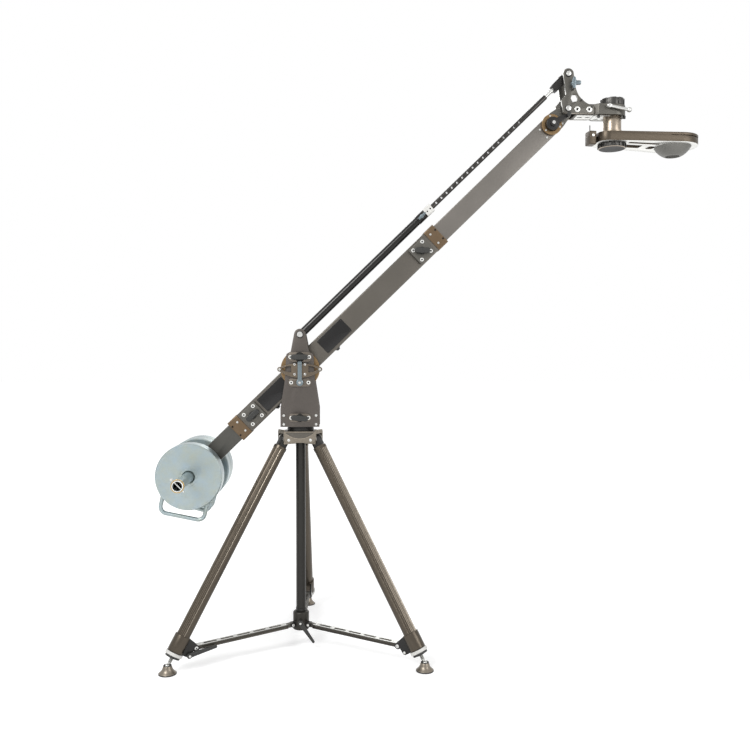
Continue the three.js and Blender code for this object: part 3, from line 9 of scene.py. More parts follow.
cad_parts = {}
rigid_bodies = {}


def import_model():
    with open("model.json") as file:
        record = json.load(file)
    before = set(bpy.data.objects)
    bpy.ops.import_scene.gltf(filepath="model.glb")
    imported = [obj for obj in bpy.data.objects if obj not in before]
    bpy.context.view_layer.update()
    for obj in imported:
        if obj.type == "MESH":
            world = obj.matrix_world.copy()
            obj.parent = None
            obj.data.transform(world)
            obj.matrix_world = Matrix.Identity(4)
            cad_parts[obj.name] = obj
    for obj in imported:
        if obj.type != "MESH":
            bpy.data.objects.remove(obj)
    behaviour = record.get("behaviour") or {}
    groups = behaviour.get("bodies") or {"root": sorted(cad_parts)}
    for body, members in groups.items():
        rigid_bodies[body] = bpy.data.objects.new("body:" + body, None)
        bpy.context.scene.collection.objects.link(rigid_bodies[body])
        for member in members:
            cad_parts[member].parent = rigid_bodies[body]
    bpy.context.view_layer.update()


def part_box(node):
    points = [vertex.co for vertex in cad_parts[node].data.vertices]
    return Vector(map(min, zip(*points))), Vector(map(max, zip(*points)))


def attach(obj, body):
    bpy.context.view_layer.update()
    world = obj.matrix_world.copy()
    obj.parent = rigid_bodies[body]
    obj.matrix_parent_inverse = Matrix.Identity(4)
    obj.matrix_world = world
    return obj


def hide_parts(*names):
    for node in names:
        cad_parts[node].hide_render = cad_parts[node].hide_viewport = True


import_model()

bl_info = {
    "name": "Camera Jib Crane",
    "version": (1, 0, 0),
    "blender": (4, 5, 0),
    "location": "3D Viewport > Sidebar > Crane",
    "description": "Builds the detailed pieces of a telescopic camera crane on its tripod",
    "category": "Object",
}

radians = math.radians

# Pieces are modelled in millimetres and scaled to metres when they are placed.
MILLIMETRE = 0.001
LEGS = 3
QUARTER = radians(90)
HALF_TURN = radians(180)
REACH = 1456
HEAD_LOCK = 1373
WEIGHT_AXLE = -578
RISER_AXIS = 189
LEG_HINGE = (69, 0, 825)
UNMOVED = Matrix.Identity(4)

column_low, column_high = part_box("centre_column")
COLUMN_X = (column_low[0] + column_high[0]) / 2 / MILLIMETRE
COLUMN_Y = (column_low[1] + column_high[1]) / 2 / MILLIMETRE


def linear(red, green, blue):
    """A colour in shader values from 8-bit display values."""
    shares = [value / 255 for value in (red, green, blue)]
    return tuple(c / 12.92 if c <= 0.04045 else ((c + 0.055) / 1.055) ** 2.4 for c in shares)


def colour_property(name, description, default):
    return bpy.props.FloatVectorProperty(
        name=name, description=description, default=linear(*default), subtype="COLOR", size=3, min=0, max=1)


def angle_property(name, description, degrees):
    return bpy.props.FloatProperty(name=name, description=description, default=radians(degrees), subtype="ANGLE")


def length_property(name, description, default, low=0, high=5000):
    return bpy.props.FloatProperty(
        name=name, description=description + ", in millimetres", default=default, min=low, max=high)


def count_property(name, description, default, low, high):
    return bpy.props.IntProperty(name=name, description=description, default=default, min=low, max=high)


class CraneStance(bpy.types.PropertyGroup):
    """How the crane stands."""

    boom_angle: angle_property("Boom angle", "Rise of the boom above level", 44.2)
    leg_splay: angle_property("Leg splay", "Lean of each leg from upright", 30.43)
    first_leg: angle_property("First leg", "Direction of the first leg about the column", 89.1)
    pivot_height: length_property("Pivot height", "Height of the tilt pivot above the floor", 1095)
    link_height: length_property("Link height", "Distance between the boom's pivot and the rod's", 134)
    main_reach: length_property("Reach", "Distance from the tilt pivot to the head's pivot", REACH)


class CraneDetail(bpy.types.PropertyGroup):
    """How fine the visual pieces are."""

    leg_ribs: count_property("Leg ribs", "Half the number of grooves that would go round a leg tube", 12, 8, 60)
    sides: count_property("Sides", "Sides of a large turned piece", 72, 24, 128)
    small_sides: count_property("Small sides", "Sides of a small turned piece", 36, 12, 64)
    edge_radius: length_property("Edge radius", "Rounding of machined edges", 0.8, 0.1, 3)


class CraneFinish(bpy.types.PropertyGroup):
    """Colours of the crane's finishes."""

    bronze_grey: colour_property("Bronze grey", "Anodised crown and feet", (130, 122, 111))
    dark_grey: colour_property("Dark grey", "Anodised head and clamps", (96, 94, 89))
    tower_grey: colour_property("Tower grey", "Anodised side plates", (91, 86, 82))
    collar_bronze: colour_property("Collar bronze", "Anodised collars", (107, 90, 71))
    disc_bronze: colour_property("Disc bronze", "Anodised brake discs", (132, 109, 79))
    champagne: colour_property("Champagne", "Polished riser", (150, 139, 125))
    bracket_bronze: colour_property("Bracket bronze", "Anodised offset arm", (84, 76, 66))
    black_metal: colour_property("Black metal", "Black turned and milled pieces", (44, 43, 42))
    zinc: colour_property("Zinc", "Plated weights and bar", (163, 174, 175))
    blue_steel: colour_property("Blue steel", "Lever and pull pins", (118, 129, 134))
    plastic: colour_property("Moulded black", "Knobs and clamp levers", (42, 42, 40))
    bearing: colour_property("Bearing white", "Guide bush and foot rings", (214, 213, 209))


def stance():
    return bpy.context.scene.crane_stance


def detail():
    return bpy.context.scene.crane_detail


# ---- Frames of the crane's groups, from millimetres to the part's metres ----

def crane_frame():
    return Matrix.Scale(MILLIMETRE, 4) @ Matrix.Translation((COLUMN_X, COLUMN_Y, 0))


def boom_frame(rise=0):
    pivot = Matrix.Translation((0, 0, stance().pivot_height + rise))
    return crane_frame() @ pivot @ Matrix.Rotation(-stance().boom_angle, 4, "Y")


def rod_frame():
    return boom_frame(stance().link_height)


def head_frame():
    reach, angle = stance().main_reach, stance().boom_angle
    return crane_frame() @ Matrix.Translation(
        (reach * math.cos(angle), 0, stance().pivot_height + reach * math.sin(angle)))


def leg_turn(index):
    return Matrix.Rotation(stance().first_leg + index * 2 * math.pi / LEGS, 4, "Z")


def plane_frame(index):
    return crane_frame() @ leg_turn(index)


def leg_frame(index):
    return (plane_frame(index) @ Matrix.Translation(LEG_HINGE)
            @ Matrix.Rotation(-stance().leg_splay, 4, "Y"))


# ---- Modelling tools ----

def fresh():
    """Leave edit mode and deselect everything."""
    active = bpy.context.view_layer.objects.active
    if active is not None and active.mode != "OBJECT":
        bpy.ops.object.mode_set(mode="OBJECT")
    bpy.ops.object.select_all(action="DESELECT")


def only(piece):
    fresh()
    piece.select_set(True)
    bpy.context.view_layer.objects.active = piece


def settle(piece, place=None):
    """Put the piece's place in its mesh."""
    if place is not None:
        piece.matrix_world = place @ piece.matrix_world
    only(piece)
    bpy.ops.object.transform_apply(location=True, rotation=True, scale=True)
    return piece


def arc(x, y, radius, start, end, steps=12):
    """Points of an arc between two angles in degrees, both ends included."""
    angles = [radians(start + (end - start) * i / steps) for i in range(steps + 1)]
    return [(x + radius * math.cos(a), y + radius * math.sin(a)) for a in angles]


def bow(start, control, end, steps=16):
    """Points of a quadratic curve after its start."""
    shares = [i / steps for i in range(1, steps + 1)]
    return [tuple((1 - t) ** 2 * a + 2 * t * (1 - t) * b + t ** 2 * c for a, b, c in zip(start, control, end))
            for t in shares]


def rounded(length, width, corner, x=0, y=0, steps=8):
    """Outline of a rounded rectangle about (x, y)."""
    a, b = length / 2 - corner, width / 2 - corner
    corners = [(a, b), (-a, b), (-a, -b), (a, -b)]
    return [spot for k, (u, v) in enumerate(corners)
            for spot in arc(x + u, y + v, corner, 90 * k, 90 * (k + 1), steps)]


def pill(length, width, x=0, y=0, steps=10):
    return rounded(length, width, width / 2 - 0.3, x, y, steps)


def tapered(start, start_radius, end, end_radius, steps=14):
    """Outline of a bar with round ends of two radii."""
    along = math.degrees(math.atan2(end[1] - start[1], end[0] - start[0]))
    return (arc(*start, start_radius, along + 90, along + 270, steps)
            + arc(*end, end_radius, along - 90, along + 90, steps))


def crescent(half, sag, edge):
    """Outline of a hollow: a level top edge and a shallow arc below it."""
    radius = (half ** 2 + sag ** 2) / (2 * sag)
    swing = math.degrees(math.asin(half / radius))
    return arc(0, edge - sag + radius, radius, -90 - swing, -90 + swing, 32)


PLANES = {
    "XY": (Vector((1, 0, 0)), Vector((0, 1, 0)), Vector((0, 0, 1))),
    "XZ": (Vector((1, 0, 0)), Vector((0, 0, 1)), Vector((0, 1, 0))),
    "YZ": (Vector((0, 1, 0)), Vector((0, 0, 1)), Vector((1, 0, 0))),
}

AIMS = {
    "Z": UNMOVED,
    "-Z": Matrix.Rotation(HALF_TURN, 4, "X"),
    "-Y": Matrix.Rotation(QUARTER, 4, "X"),
    "Y": Matrix.Rotation(-QUARTER, 4, "X"),
    "X": Matrix.Rotation(QUARTER, 4, "Y"),
    "-X": Matrix.Rotation(-QUARTER, 4, "Y"),
}


def drawn(points, plane, low, high):
    """Draw an outline point by point, fill it and extrude it between two heights."""
    u, v, w = PLANES[plane]
    path = [u * x + v * y for x, y in points]
    path.append(path[0])
    fresh()
    bpy.ops.mesh.primitive_plane_add(size=1, location=path[0] + w * low)
    piece = bpy.context.object
    bpy.ops.object.mode_set(mode="EDIT")
    bpy.ops.mesh.merge(type="CENTER")
    for before, after in zip(path, path[1:]):
        bpy.ops.mesh.extrude_vertices_move(TRANSFORM_OT_translate={"value": after - before})
    bpy.ops.mesh.select_all(action="SELECT")
    bpy.ops.mesh.remove_doubles(threshold=0.001)
    bpy.ops.mesh.edge_face_add()
    bpy.ops.mesh.extrude_region_move(TRANSFORM_OT_translate={"value": w * (high - low)})
    return closed(piece)


def closed(piece, merge=0):
    """Leave edit mode with all faces outwards."""
    bpy.ops.mesh.select_all(action="SELECT")
    if merge:
        bpy.ops.mesh.remove_doubles(threshold=merge)
    bpy.ops.mesh.normals_make_consistent(inside=False)
    bpy.ops.object.mode_set(mode="OBJECT")
    return settle(piece)


def turned(profile, sides=None, ring=False, along="Z", at=(0, 0, 0)):
    """Turn a profile of (radius, height) points: extrude and scale a circle from point to point."""
    radius, height = profile[0]
    fresh()
    bpy.ops.mesh.primitive_circle_add(
        vertices=sides or detail().small_sides, radius=radius, fill_type="NOTHING" if ring else "NGON",
        location=(0, 0, height))
    piece = bpy.context.object
    bpy.ops.object.mode_set(mode="EDIT")
    for next_radius, next_height in profile[1:] + profile[:1] if ring else profile[1:]:
        bpy.ops.mesh.extrude_region_move(TRANSFORM_OT_translate={"value": (0, 0, next_height - height)})
        if abs(next_radius - radius) > 1e-6:
            share = next_radius / radius
            bpy.ops.transform.resize(value=(share, share, 1), center_override=(0, 0, next_height))
        radius, height = next_radius, next_height
    return settle(closed(piece, 0.001 if ring else 0), Matrix.Translation(at) @ AIMS[along])


def wheel(profile, ring=False, along="Z", at=(0, 0, 0)):
    """A turned piece with the sides of a large one."""
    return turned(profile, detail().sides, ring, along, at)


def drum(radius, low, high, along="Z", at=(0, 0, 0), sides=None):
    """A plain round tool or core between two heights."""
    return turned([(radius, low), (radius, high)], sides, along=along, at=at)


def sphere(radius, height, limit, steps):
    """Profile of a ball cut at the same angle above and below."""
    return [(radius * math.cos(a), height + radius * math.sin(a))
            for a in [radians(-limit + 2 * limit * k / steps) for k in range(steps + 1)]]


def box(low, high):
    fresh()
    middle = [(a + b) / 2 for a, b in zip(low, high)]
    size = [b - a for a, b in zip(low, high)]
    bpy.ops.mesh.primitive_cube_add(size=1, location=middle, scale=size)
    return settle(bpy.context.object)


def joined(first, *others):
    only(first)
    for other in others:
        other.select_set(True)
    bpy.ops.object.join()
    return first


def carved(piece, *cutters, operation="DIFFERENCE"):
    for cutter in cutters:
        only(piece)
        change = piece.modifiers.new("Carve", "BOOLEAN")
        change.operation = operation
        change.solver = "EXACT"
        change.object = cutter
        bpy.ops.object.modifier_apply(modifier=change.name)
        bpy.data.objects.remove(cutter)
    return piece


def softened(piece, width=None, segments=2, limit=35):
    """Round the sharp edges."""
    only(piece)
    change = piece.modifiers.new("Edges", "BEVEL")
    change.width = detail().edge_radius if width is None else width
    change.segments = segments
    change.limit_method = "ANGLE"
    change.angle_limit = radians(limit)
    bpy.ops.object.modifier_apply(modifier=change.name)
    return piece


def slab(points, plane, low, high, width=None, segments=2):
    """A drawn piece with rounded edges."""
    return softened(drawn(points, plane, low, high), width, segments)


def brick(low, high, width=None, segments=2):
    """A box with rounded edges."""
    return softened(box(low, high), width, segments)


def copy_of(master):
    """A separate copy with its own mesh."""
    other = master.copy()
    other.data = master.data.copy()
    bpy.context.scene.collection.objects.link(other)
    return other


def copies(piece, places):
    """One copy of the piece at each matrix, joined; the first one is used up."""
    made = [settle(copy_of(piece), place) for place in places]
    bpy.data.objects.remove(piece)
    return joined(made[0], *made[1:]) if len(made) > 1 else made[0]


def finished(piece, name, body, look, place, stands_for=(), smooth=32):
    """Smooth, place, dress and attach a piece."""
    only(piece)
    bpy.ops.object.shade_smooth_by_angle(angle=radians(smooth))
    settle(piece, place)
    piece.name = name
    piece.data.name = name
    piece.data.materials.clear()
    piece.data.materials.append(dressing(look))
    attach(piece, body)
    if stands_for:
        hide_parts(*stands_for)
    return piece


class Group:
    """Finishes the pieces of one body that share a frame."""

    def __init__(self, body, place):
        self.body = body
        self.place = place

    def put(self, piece, name, look, *nodes, smooth=32):
        return finished(piece, name, self.body, look, self.place, nodes, smooth)

    def set(self, head, spots, name, look="bright_steel"):
        """Copies of a small piece at several spots."""
        return self.put(copies(head, spots), name, look)


def for_each_leg(frame_of, body, *rows):
    """A copy of each master for every leg. The masters are used up, and # stands for the leg's number."""
    for master, name, look, *nodes in rows:
        for i in range(LEGS):
            number = str(i + 1)
            group = Group(body.replace("#", number), frame_of(i))
            group.put(copy_of(master), f"{name}_{number}", look, *[node.replace("#", number) for node in nodes])
        bpy.data.objects.remove(master)


def paint_faces(piece, look, chosen):
    """Give a second finish to the faces that the test picks, by centre and normal."""
    piece.data.materials.append(dressing(look))
    index = len(piece.data.materials) - 1
    for face in piece.data.polygons:
        if chosen(face.center, face.normal):
            face.material_index = index


# ---- Finishes ----

def add(tree, kind, inputs=None, **settings):
    made = tree.nodes.new("ShaderNode" + kind)
    for key, value in settings.items():
        setattr(made, key, value)
    for key, value in (inputs or {}).items():
        if isinstance(value, bpy.types.NodeSocket):
            tree.links.new(value, made.inputs[key])
        else:
            made.inputs[key].default_value = value
    return made


def blank(name):
    """An empty material, its node tree, its main shader and the object's coordinates."""
    made = bpy.data.materials.new(name)
    made.use_nodes = True
    made.node_tree.nodes.clear()
    tree = made.node_tree
    shader = add(tree, "BsdfPrincipled")
    add(tree, "OutputMaterial", {"Surface": shader.outputs[0]})
    return made, tree, shader, add(tree, "TexCoord").outputs["Object"]


def connect(tree, shader, colour, roughness, bump):
    for name, value in (("Base Color", colour), ("Roughness", roughness), ("Normal", bump.outputs[0])):
        tree.links.new(value, shader.inputs[name])


def spread(tree, value, low, high):
    """Map a noise value to a range."""
    return add(tree, "MapRange", {"Value": value, "From Min": 0.3, "From Max": 0.7,
                                  "To Min": low, "To Max": high}).outputs[0]


def noise(tree, coordinates, scale, detail_level=3, roughness=0.55):
    return add(tree, "TexNoise", {"Vector": coordinates, "Scale": scale, "Detail": detail_level,
                                  "Roughness": roughness}).outputs[0]


def blended(tree, factor, first, second):
    return add(tree, "Mix", {0: factor, 6: first, 7: second}, data_type="RGBA").outputs[2]


def bumped(tree, height, strength, distance=0.0002, **others):
    return add(tree, "Bump", {"Height": height, "Strength": strength, "Distance": distance, **others})


def tone(colour, share):
    return tuple(min(1, c * share) for c in colour) + (1,)


def edge_wear_and_highlight(tree, radius, low, high):
    """How near a point lies to a sharp edge, from the rounded and the true normal. The looks lighten edges with it, for
    edge wear and a painted highlight.
    """
    around = add(tree, "Bevel", {"Radius": radius}, samples=4)
    normal = add(tree, "NewGeometry")
    dot = add(tree, "VectorMath", {0: around.outputs[0], 1: normal.outputs["Normal"]}, operation="DOT_PRODUCT")
    return add(tree, "MapRange", {"Value": dot.outputs["Value"], "From Min": 0.998, "From Max": 0.9,
                                  "To Min": low, "To Max": high}).outputs[0]


def metal(name, colour, rough, grain, boom=False, tint=0.06, edge=0.5, scratch=0.1, metallic=0.9, lift=1):
    """Anodised or plated metal: drawn grain, faint clouds, edges lighter for wear and a painted highlight."""
    made, tree, shader, place = blank(name)
    colour = tone(colour, lift)[:3]
    turn = (0, stance().boom_angle if boom else 0, 0)
    along = add(tree, "Mapping", {"Vector": place, "Rotation": turn, "Scale": grain})
    lines = noise(tree, along.outputs[0], 12, 4, 0.6)
    clouds = noise(tree, place, 7)
    speck = noise(tree, place, 900, 2)
    clouded = blended(tree, spread(tree, clouds, 0, 1), tone(colour, 1 - tint), tone(colour, 1 + tint))
    streaked = blended(tree, spread(tree, lines, 0, tint * 3), clouded, tone(colour, 0.72))
    # Edges lighter: partly wear, partly a painted highlight
    rubbed_and_highlit = blended(tree, edge_wear_and_highlight(tree, 0.0012, 0, edge), streaked, tone(colour, 1.75))
    shader.inputs["Metallic"].default_value = metallic
    bump = bumped(tree, lines, scratch, Normal=bumped(tree, speck, 0.05).outputs[0])
    connect(tree, shader, rubbed_and_highlit, spread(tree, lines, rough - 0.05, rough + 0.08), bump)
    return made


def mottled_zinc(name, colour):
    """Yellowish and bluish clouds of zinc plating over a turned surface."""
    made, tree, shader, place = blank(name)
    wide = noise(tree, place, 16, 5, 0.65)
    bluish = noise(tree, place, 34, 4, 0.6)
    spangle = add(tree, "TexVoronoi", {"Vector": place, "Scale": 150})
    yellow = tone((colour[0] * 1.02, colour[1] * 0.93, colour[2] * 0.72), 0.97)
    blue = tone((colour[0] * 0.84, colour[1] * 0.95, colour[2] * 1.12), 0.98)
    first = blended(tree, spread(tree, wide, 0, 0.75), tone(colour, 1.0), yellow)
    second = blended(tree, spread(tree, bluish, 0, 0.6), first, blue)
    third = blended(tree, spread(tree, spangle.outputs[0], 0, 0.1), second, tone(colour, 0.7))
    # Edges lighter: partly wear, partly a painted highlight
    rubbed_and_highlit = blended(tree, edge_wear_and_highlight(tree, 0.0015, 0, 0.7), third, tone(colour, 1.3))
    shader.inputs["Metallic"].default_value = 0.85
    connect(tree, shader, rubbed_and_highlit, spread(tree, wide, 0.3, 0.44), bumped(tree, bluish, 0.06, 0.0003))
    return made


def moulded(name, colour, rough, grain=1400, depth=0.12, sheen=0.0):
    """Moulded plastic or rubber with a fine spark-eroded texture."""
    made, tree, shader, place = blank(name)
    pores = noise(tree, place, grain, 2)
    clouds = noise(tree, place, 24)
    shade = blended(tree, spread(tree, clouds, 0, 1), tone(colour, 0.88), tone(colour, 1.12))
    # Edges lighter: partly wear, partly a painted highlight
    rubbed_and_highlit = blended(tree, edge_wear_and_highlight(tree, 0.001, 0, 0.3), shade, tone(colour, 2.2))
    shader.inputs["Sheen Weight"].default_value = sheen
    connect(tree, shader, rubbed_and_highlit, spread(tree, clouds, rough - 0.06, rough + 0.08), bumped(tree, pores, depth))
    return made


def recipe(slot, make, colour, *values, **settings):
    """A row of the looks: the record's slot, the maker, a finish or display colour, the maker's values."""
    return slot, make, colour, values, settings


LOOKS = {
    "bronze_grey": recipe("bronze_grey", metal, (98, 94, 88), 0.4, (14, 90, 90), boom=True),
    "leg_grey": recipe("bronze_grey", metal, (84, 77, 68), 0.3, (90, 90, 8), tint=0.04, scratch=0.03, edge=0.2),
    "nut_grey": recipe("bronze_grey", metal, (74, 73, 71), 0.34, (20, 20, 260)),
    # A lighter copy of the bronze grey: a painted highlight on groove sides, rims and plate edges
    "rib_bright": recipe("bronze_grey", metal, "bronze_grey", 0.28, (90, 90, 8), edge=0, lift=1.7),
    "bowl_grey": recipe("bronze_grey", metal, (112, 111, 107), 0.4, (20, 20, 260), edge=0.2),
    "arm_side": recipe("bronze_grey", metal, (70, 67, 62), 0.4, (30, 30, 30)),
    "turned_bronze": recipe("bronze_grey", metal, "bronze_grey", 0.36, (20, 20, 260)),
    "dark_grey": recipe("dark_grey", metal, "dark_grey", 0.42, (12, 90, 90), boom=True),
    "front_grey": recipe("dark_grey", metal, (117, 113, 108), 0.42, (12, 90, 90), boom=True),
    "rear_grey": recipe("dark_grey", metal, (86, 85, 81), 0.42, (12, 90, 90), boom=True),
    "hub_grey": recipe("bronze_grey", metal, (58, 56, 53), 0.38, (20, 20, 260)),
    "column_grey": recipe("dark_grey", metal, (54, 53, 51), 0.34, (60, 60, 10), tint=0.03, scratch=0.03),
    "rod_grey": recipe("dark_grey", metal, (64, 62, 60), 0.26, (10, 90, 90), boom=True, scratch=0.02),
    "head_grey": recipe("dark_grey", metal, "dark_grey", 0.44, (60, 60, 20)),
    "tower_grey": recipe("tower_grey", metal, "tower_grey", 0.44, (80, 80, 12)),
    "arch_bronze": recipe("tower_grey", metal, (104, 94, 82), 0.4, (60, 60, 20)),
    "pad_grey": recipe("tower_grey", metal, (106, 99, 91), 0.4, (60, 60, 20)),
    "collar_bronze": recipe("collar_bronze", metal, "collar_bronze", 0.42, (30, 80, 80), boom=True),
    "disc_bronze": recipe("disc_bronze", metal, "disc_bronze", 0.34, (40, 200, 40)),
    "champagne": recipe("champagne", metal, "champagne", 0.3, (12, 12, 240), edge=0.25),
    "bracket_bronze": recipe("bracket_bronze", metal, "bracket_bronze", 0.38, (14, 70, 70)),
    "black_metal": recipe("black_alloy", metal, "black_metal", 0.42, (50, 50, 50), edge=0.35, metallic=0.6),
    "black_steel": recipe("black_steel", metal, "black_metal", 0.38, (50, 50, 50), metallic=0.5),
    "zinc": recipe("zinc_steel", mottled_zinc, "zinc"),
    "bright_steel": recipe("zinc_steel", metal, (205, 205, 202), 0.26, (120, 120, 120), edge=0.2),
    "white_steel": recipe("zinc_steel", metal, (228, 228, 224), 0.34, (120, 120, 120), tint=0.03, edge=0.1),
    "rod_black": recipe("black_alloy", metal, (38, 37, 36), 0.22, (10, 90, 90), boom=True, edge=0.3, scratch=0.02,
                      metallic=0.6),
    "black_gloss": recipe("black_steel", metal, (24, 23, 23), 0.2, (30, 80, 80), boom=True, edge=0.3, metallic=0.3),
    "foot_steel": recipe("foot_steel", metal, (186, 186, 182), 0.28, (30, 30, 400), edge=0.2),
    "brass": recipe("zinc_steel", metal, (196, 160, 92), 0.3, (120, 120, 120), edge=0.3),
    "blue_steel": recipe("blue_steel", metal, "blue_steel", 0.34, (90, 90, 30), tint=0.1, edge=0.6),
    "plastic": recipe("black_plastic", moulded, "plastic", 0.46),
    "rubber": recipe("black_plastic", moulded, (34, 33, 32), 0.7, 700, 0.2, 0.1),
    "bearing": recipe("white_plastic", moulded, "bearing", 0.42, 900, 0.05),
    "foot_white": recipe("foot_steel", moulded, "bearing", 0.42, 900, 0.05),
    "foot_black": recipe("foot_steel", moulded, "plastic", 0.5),
}
made_looks = {}


def dressing(name):
    if name not in made_looks:
        _, make, colour, values, settings = LOOKS[name]
        finish = bpy.context.scene.crane_finish
        colour = tuple(getattr(finish, colour)) if isinstance(colour, str) else linear(*colour)
        made_looks[name] = make(name, colour, *values, **settings)
    return made_looks[name]


def dress_node(node, name):
    """A CAD node that keeps its shape gets the detailed finish."""
    piece = bpy.data.objects[node]
    if not piece.material_slots:
        raise RuntimeError(node + " has no material slot")
    for place in piece.material_slots:
        place.material = dressing(name)


# ---- Small fasteners ----

def screw_head(radius, height):
    head = turned([(radius, 0), (radius, height * 0.75), (radius * 0.9, height)], 24)
    return carved(head, drum(radius * 0.5, height * 0.35, height + 1, sides=6))


def countersunk(radius):
    head = turned([(radius * 0.8, -0.4), (radius, 0), (radius, 0.35), (radius * 0.92, 0.55)], 24)
    return carved(head, drum(radius * 0.42, 0.05, 2, sides=6))


def bolt_head(radius, height):
    head = turned([(radius * 0.98, 0), (radius, height * 0.7), (radius * 0.9, height)], 6)
    return joined(softened(head, 0.4), turned([(radius * 0.82, height), (radius * 0.7, height + 0.6)], 24))


def ring_screws(group, spots, name, radius=7.4):
    """Bright rings with a black plug in the middle, a painted shade for the socket."""
    inner = radius * 0.45
    rim = turned([(inner, 0), (radius, 0), (radius, 1.6), (radius * 0.9, 2.2), (radius * 0.5, 2.2), (inner, 1.8)],
                 32, ring=True)
    core = turned([(radius * 0.46, 0), (radius * 0.46, 1.0), (radius * 0.3, 0.8)], 24)
    group.set(rim, spots, name + "_screws", "white_steel")
    group.set(core, spots, name + "_sockets", "black_steel")


def at(aim, *spots):
    """A matrix for each spot, pointing one way."""
    return [Matrix.Translation(spot) @ AIMS[aim] for spot in spots]


def both(*spots):
    """Matrices on the near and the far side, pointing outwards."""
    return at("-Y", *[(x, -y, z) for x, y, z in spots]) + at("Y", *spots)


# ---- Operators ----

class CraneTool:
    bl_options = {"REGISTER", "UNDO"}

    def execute(self, context):
        self.build()
        return {"FINISHED"}


# The studio, in metres. A glow is a distance from the crane and the floor's own light there.
FLOOR_SIZE = 60
FLOOR_LEVEL = -0.0002
FLOOR_TONES = ((0.8, 0.8, 0.8, 1), (0.83, 0.83, 0.83, 1))
GLOW_NEAR = (0.7, 0.34)
GLOW_FAR = (3.0, 0.62)
WHITE = (1, 1, 1, 1)
WORLD_LIGHT = 0.55
LAMP_TARGET = Vector((0, 0, 1.1))
STUDIO_LAMPS = [
    ("key_lamp", (-3.2, -4.0, 4.4), 2.6, 210),
    ("fill_lamp", (3.8, -3.4, 2.6), 3.0, 80),
    ("back_lamp", (0.6, 4.2, 4.0), 3.0, 90),
]
SENSOR = 36
FOCAL_PIXELS = 808.43
PHOTO_PIXELS = 750
CAMERA_FROM_COLUMN = (0.1396, -3.1806, 1.1532)
CAMERA_PITCH = -0.0258
CAMERA_YAW = 0.048


class CRANE_OT_stage(CraneTool, bpy.types.Operator):
    """Make the studio floor, the lamps, the world and the camera."""

    bl_idname = "crane.stage"
    bl_label = "Stage"

    def build(self):
        self.floor()
        self.world()
        for lamp in STUDIO_LAMPS:
            self.lamp(*lamp)
        self.camera()

    def seen(self, tree):
        """1 where the camera, a reflection or a refraction looks."""
        path = add(tree, "LightPath").outputs
        first = add(tree, "Math", {0: path["Is Camera Ray"], 1: path["Is Glossy Ray"]}, operation="MAXIMUM")
        return add(tree, "Math", {0: first.outputs[0], 1: path["Is Transmission Ray"]},
                   operation="MAXIMUM").outputs[0]

    def floor(self):
        fresh()
        bpy.ops.mesh.primitive_plane_add(size=FLOOR_SIZE, location=(0, 0, FLOOR_LEVEL))
        floor = bpy.context.object
        floor.name = "studio_floor"
        made = bpy.data.materials.new("pale_floor")
        made.use_nodes = True
        tree = made.node_tree
        tree.nodes.clear()
        place = add(tree, "TexCoord").outputs["Object"]
        matt = add(tree, "BsdfDiffuse", {
            "Color": blended(tree, spread(tree, noise(tree, place, 0.8), 0, 1), *FLOOR_TONES)})
        away = add(tree, "VectorMath", {0: place}, operation="LENGTH").outputs["Value"]
        level = add(tree, "MapRange", {"Value": away, "From Min": GLOW_NEAR[0], "From Max": GLOW_FAR[0],
                                       "To Min": GLOW_NEAR[1], "To Max": GLOW_FAR[1]}).outputs[0]
        strength = add(tree, "Math", {0: self.seen(tree), 1: level}, operation="MULTIPLY")
        glow = add(tree, "Emission", {"Color": WHITE, "Strength": strength.outputs[0]})
        summed = add(tree, "AddShader", {0: matt.outputs[0], 1: glow.outputs[0]})
        add(tree, "OutputMaterial", {"Surface": summed.outputs[0]})
        floor.data.materials.append(made)
        settle(floor)

    def world(self):
        world = bpy.data.worlds.new("studio_air")
        bpy.context.scene.world = world
        world.use_nodes = True
        tree = world.node_tree
        tree.nodes.clear()
        level = add(tree, "MapRange", {"Value": self.seen(tree), "To Min": WORLD_LIGHT, "To Max": 1.0})
        air = add(tree, "Background", {"Color": WHITE, "Strength": level.outputs[0]})
        add(tree, "OutputWorld", {"Surface": air.outputs[0]})

    def lamp(self, name, spot, size, power):
        data = bpy.data.lights.new(name, "AREA")
        data.shape = "DISK"
        data.size = size
        data.energy = power
        lamp = bpy.data.objects.new(name, data)
        lamp.location = spot
        lamp.rotation_euler = (LAMP_TARGET - Vector(spot)).to_track_quat("-Z", "Y").to_euler()
        bpy.context.scene.collection.objects.link(lamp)

    def camera(self):
        data = bpy.data.cameras.new("photo_camera")
        data.sensor_width = SENSOR
        data.lens = FOCAL_PIXELS / PHOTO_PIXELS * SENSOR
        camera = bpy.data.objects.new("photo_camera", data)
        centre = Vector((COLUMN_X, COLUMN_Y, 0)) * MILLIMETRE
        camera.location = centre + Vector(CAMERA_FROM_COLUMN)
        camera.rotation_euler = (QUARTER + CAMERA_PITCH, 0, -CAMERA_YAW)
        bpy.context.scene.collection.objects.link(camera)
        bpy.context.scene.camera = camera
        bpy.context.scene.view_settings.view_transform = "Standard"


COLUMN_PROFILE = [(16, 75), (18.4, 75), (19, 75.8), (19, 838), (16, 838)]
STOP_RING_PROFILE = [(19.2, 148), (20.6, 148.6), (20.6, 154), (19.2, 154.6)]
CRESCENT_LEAN = radians(-8)


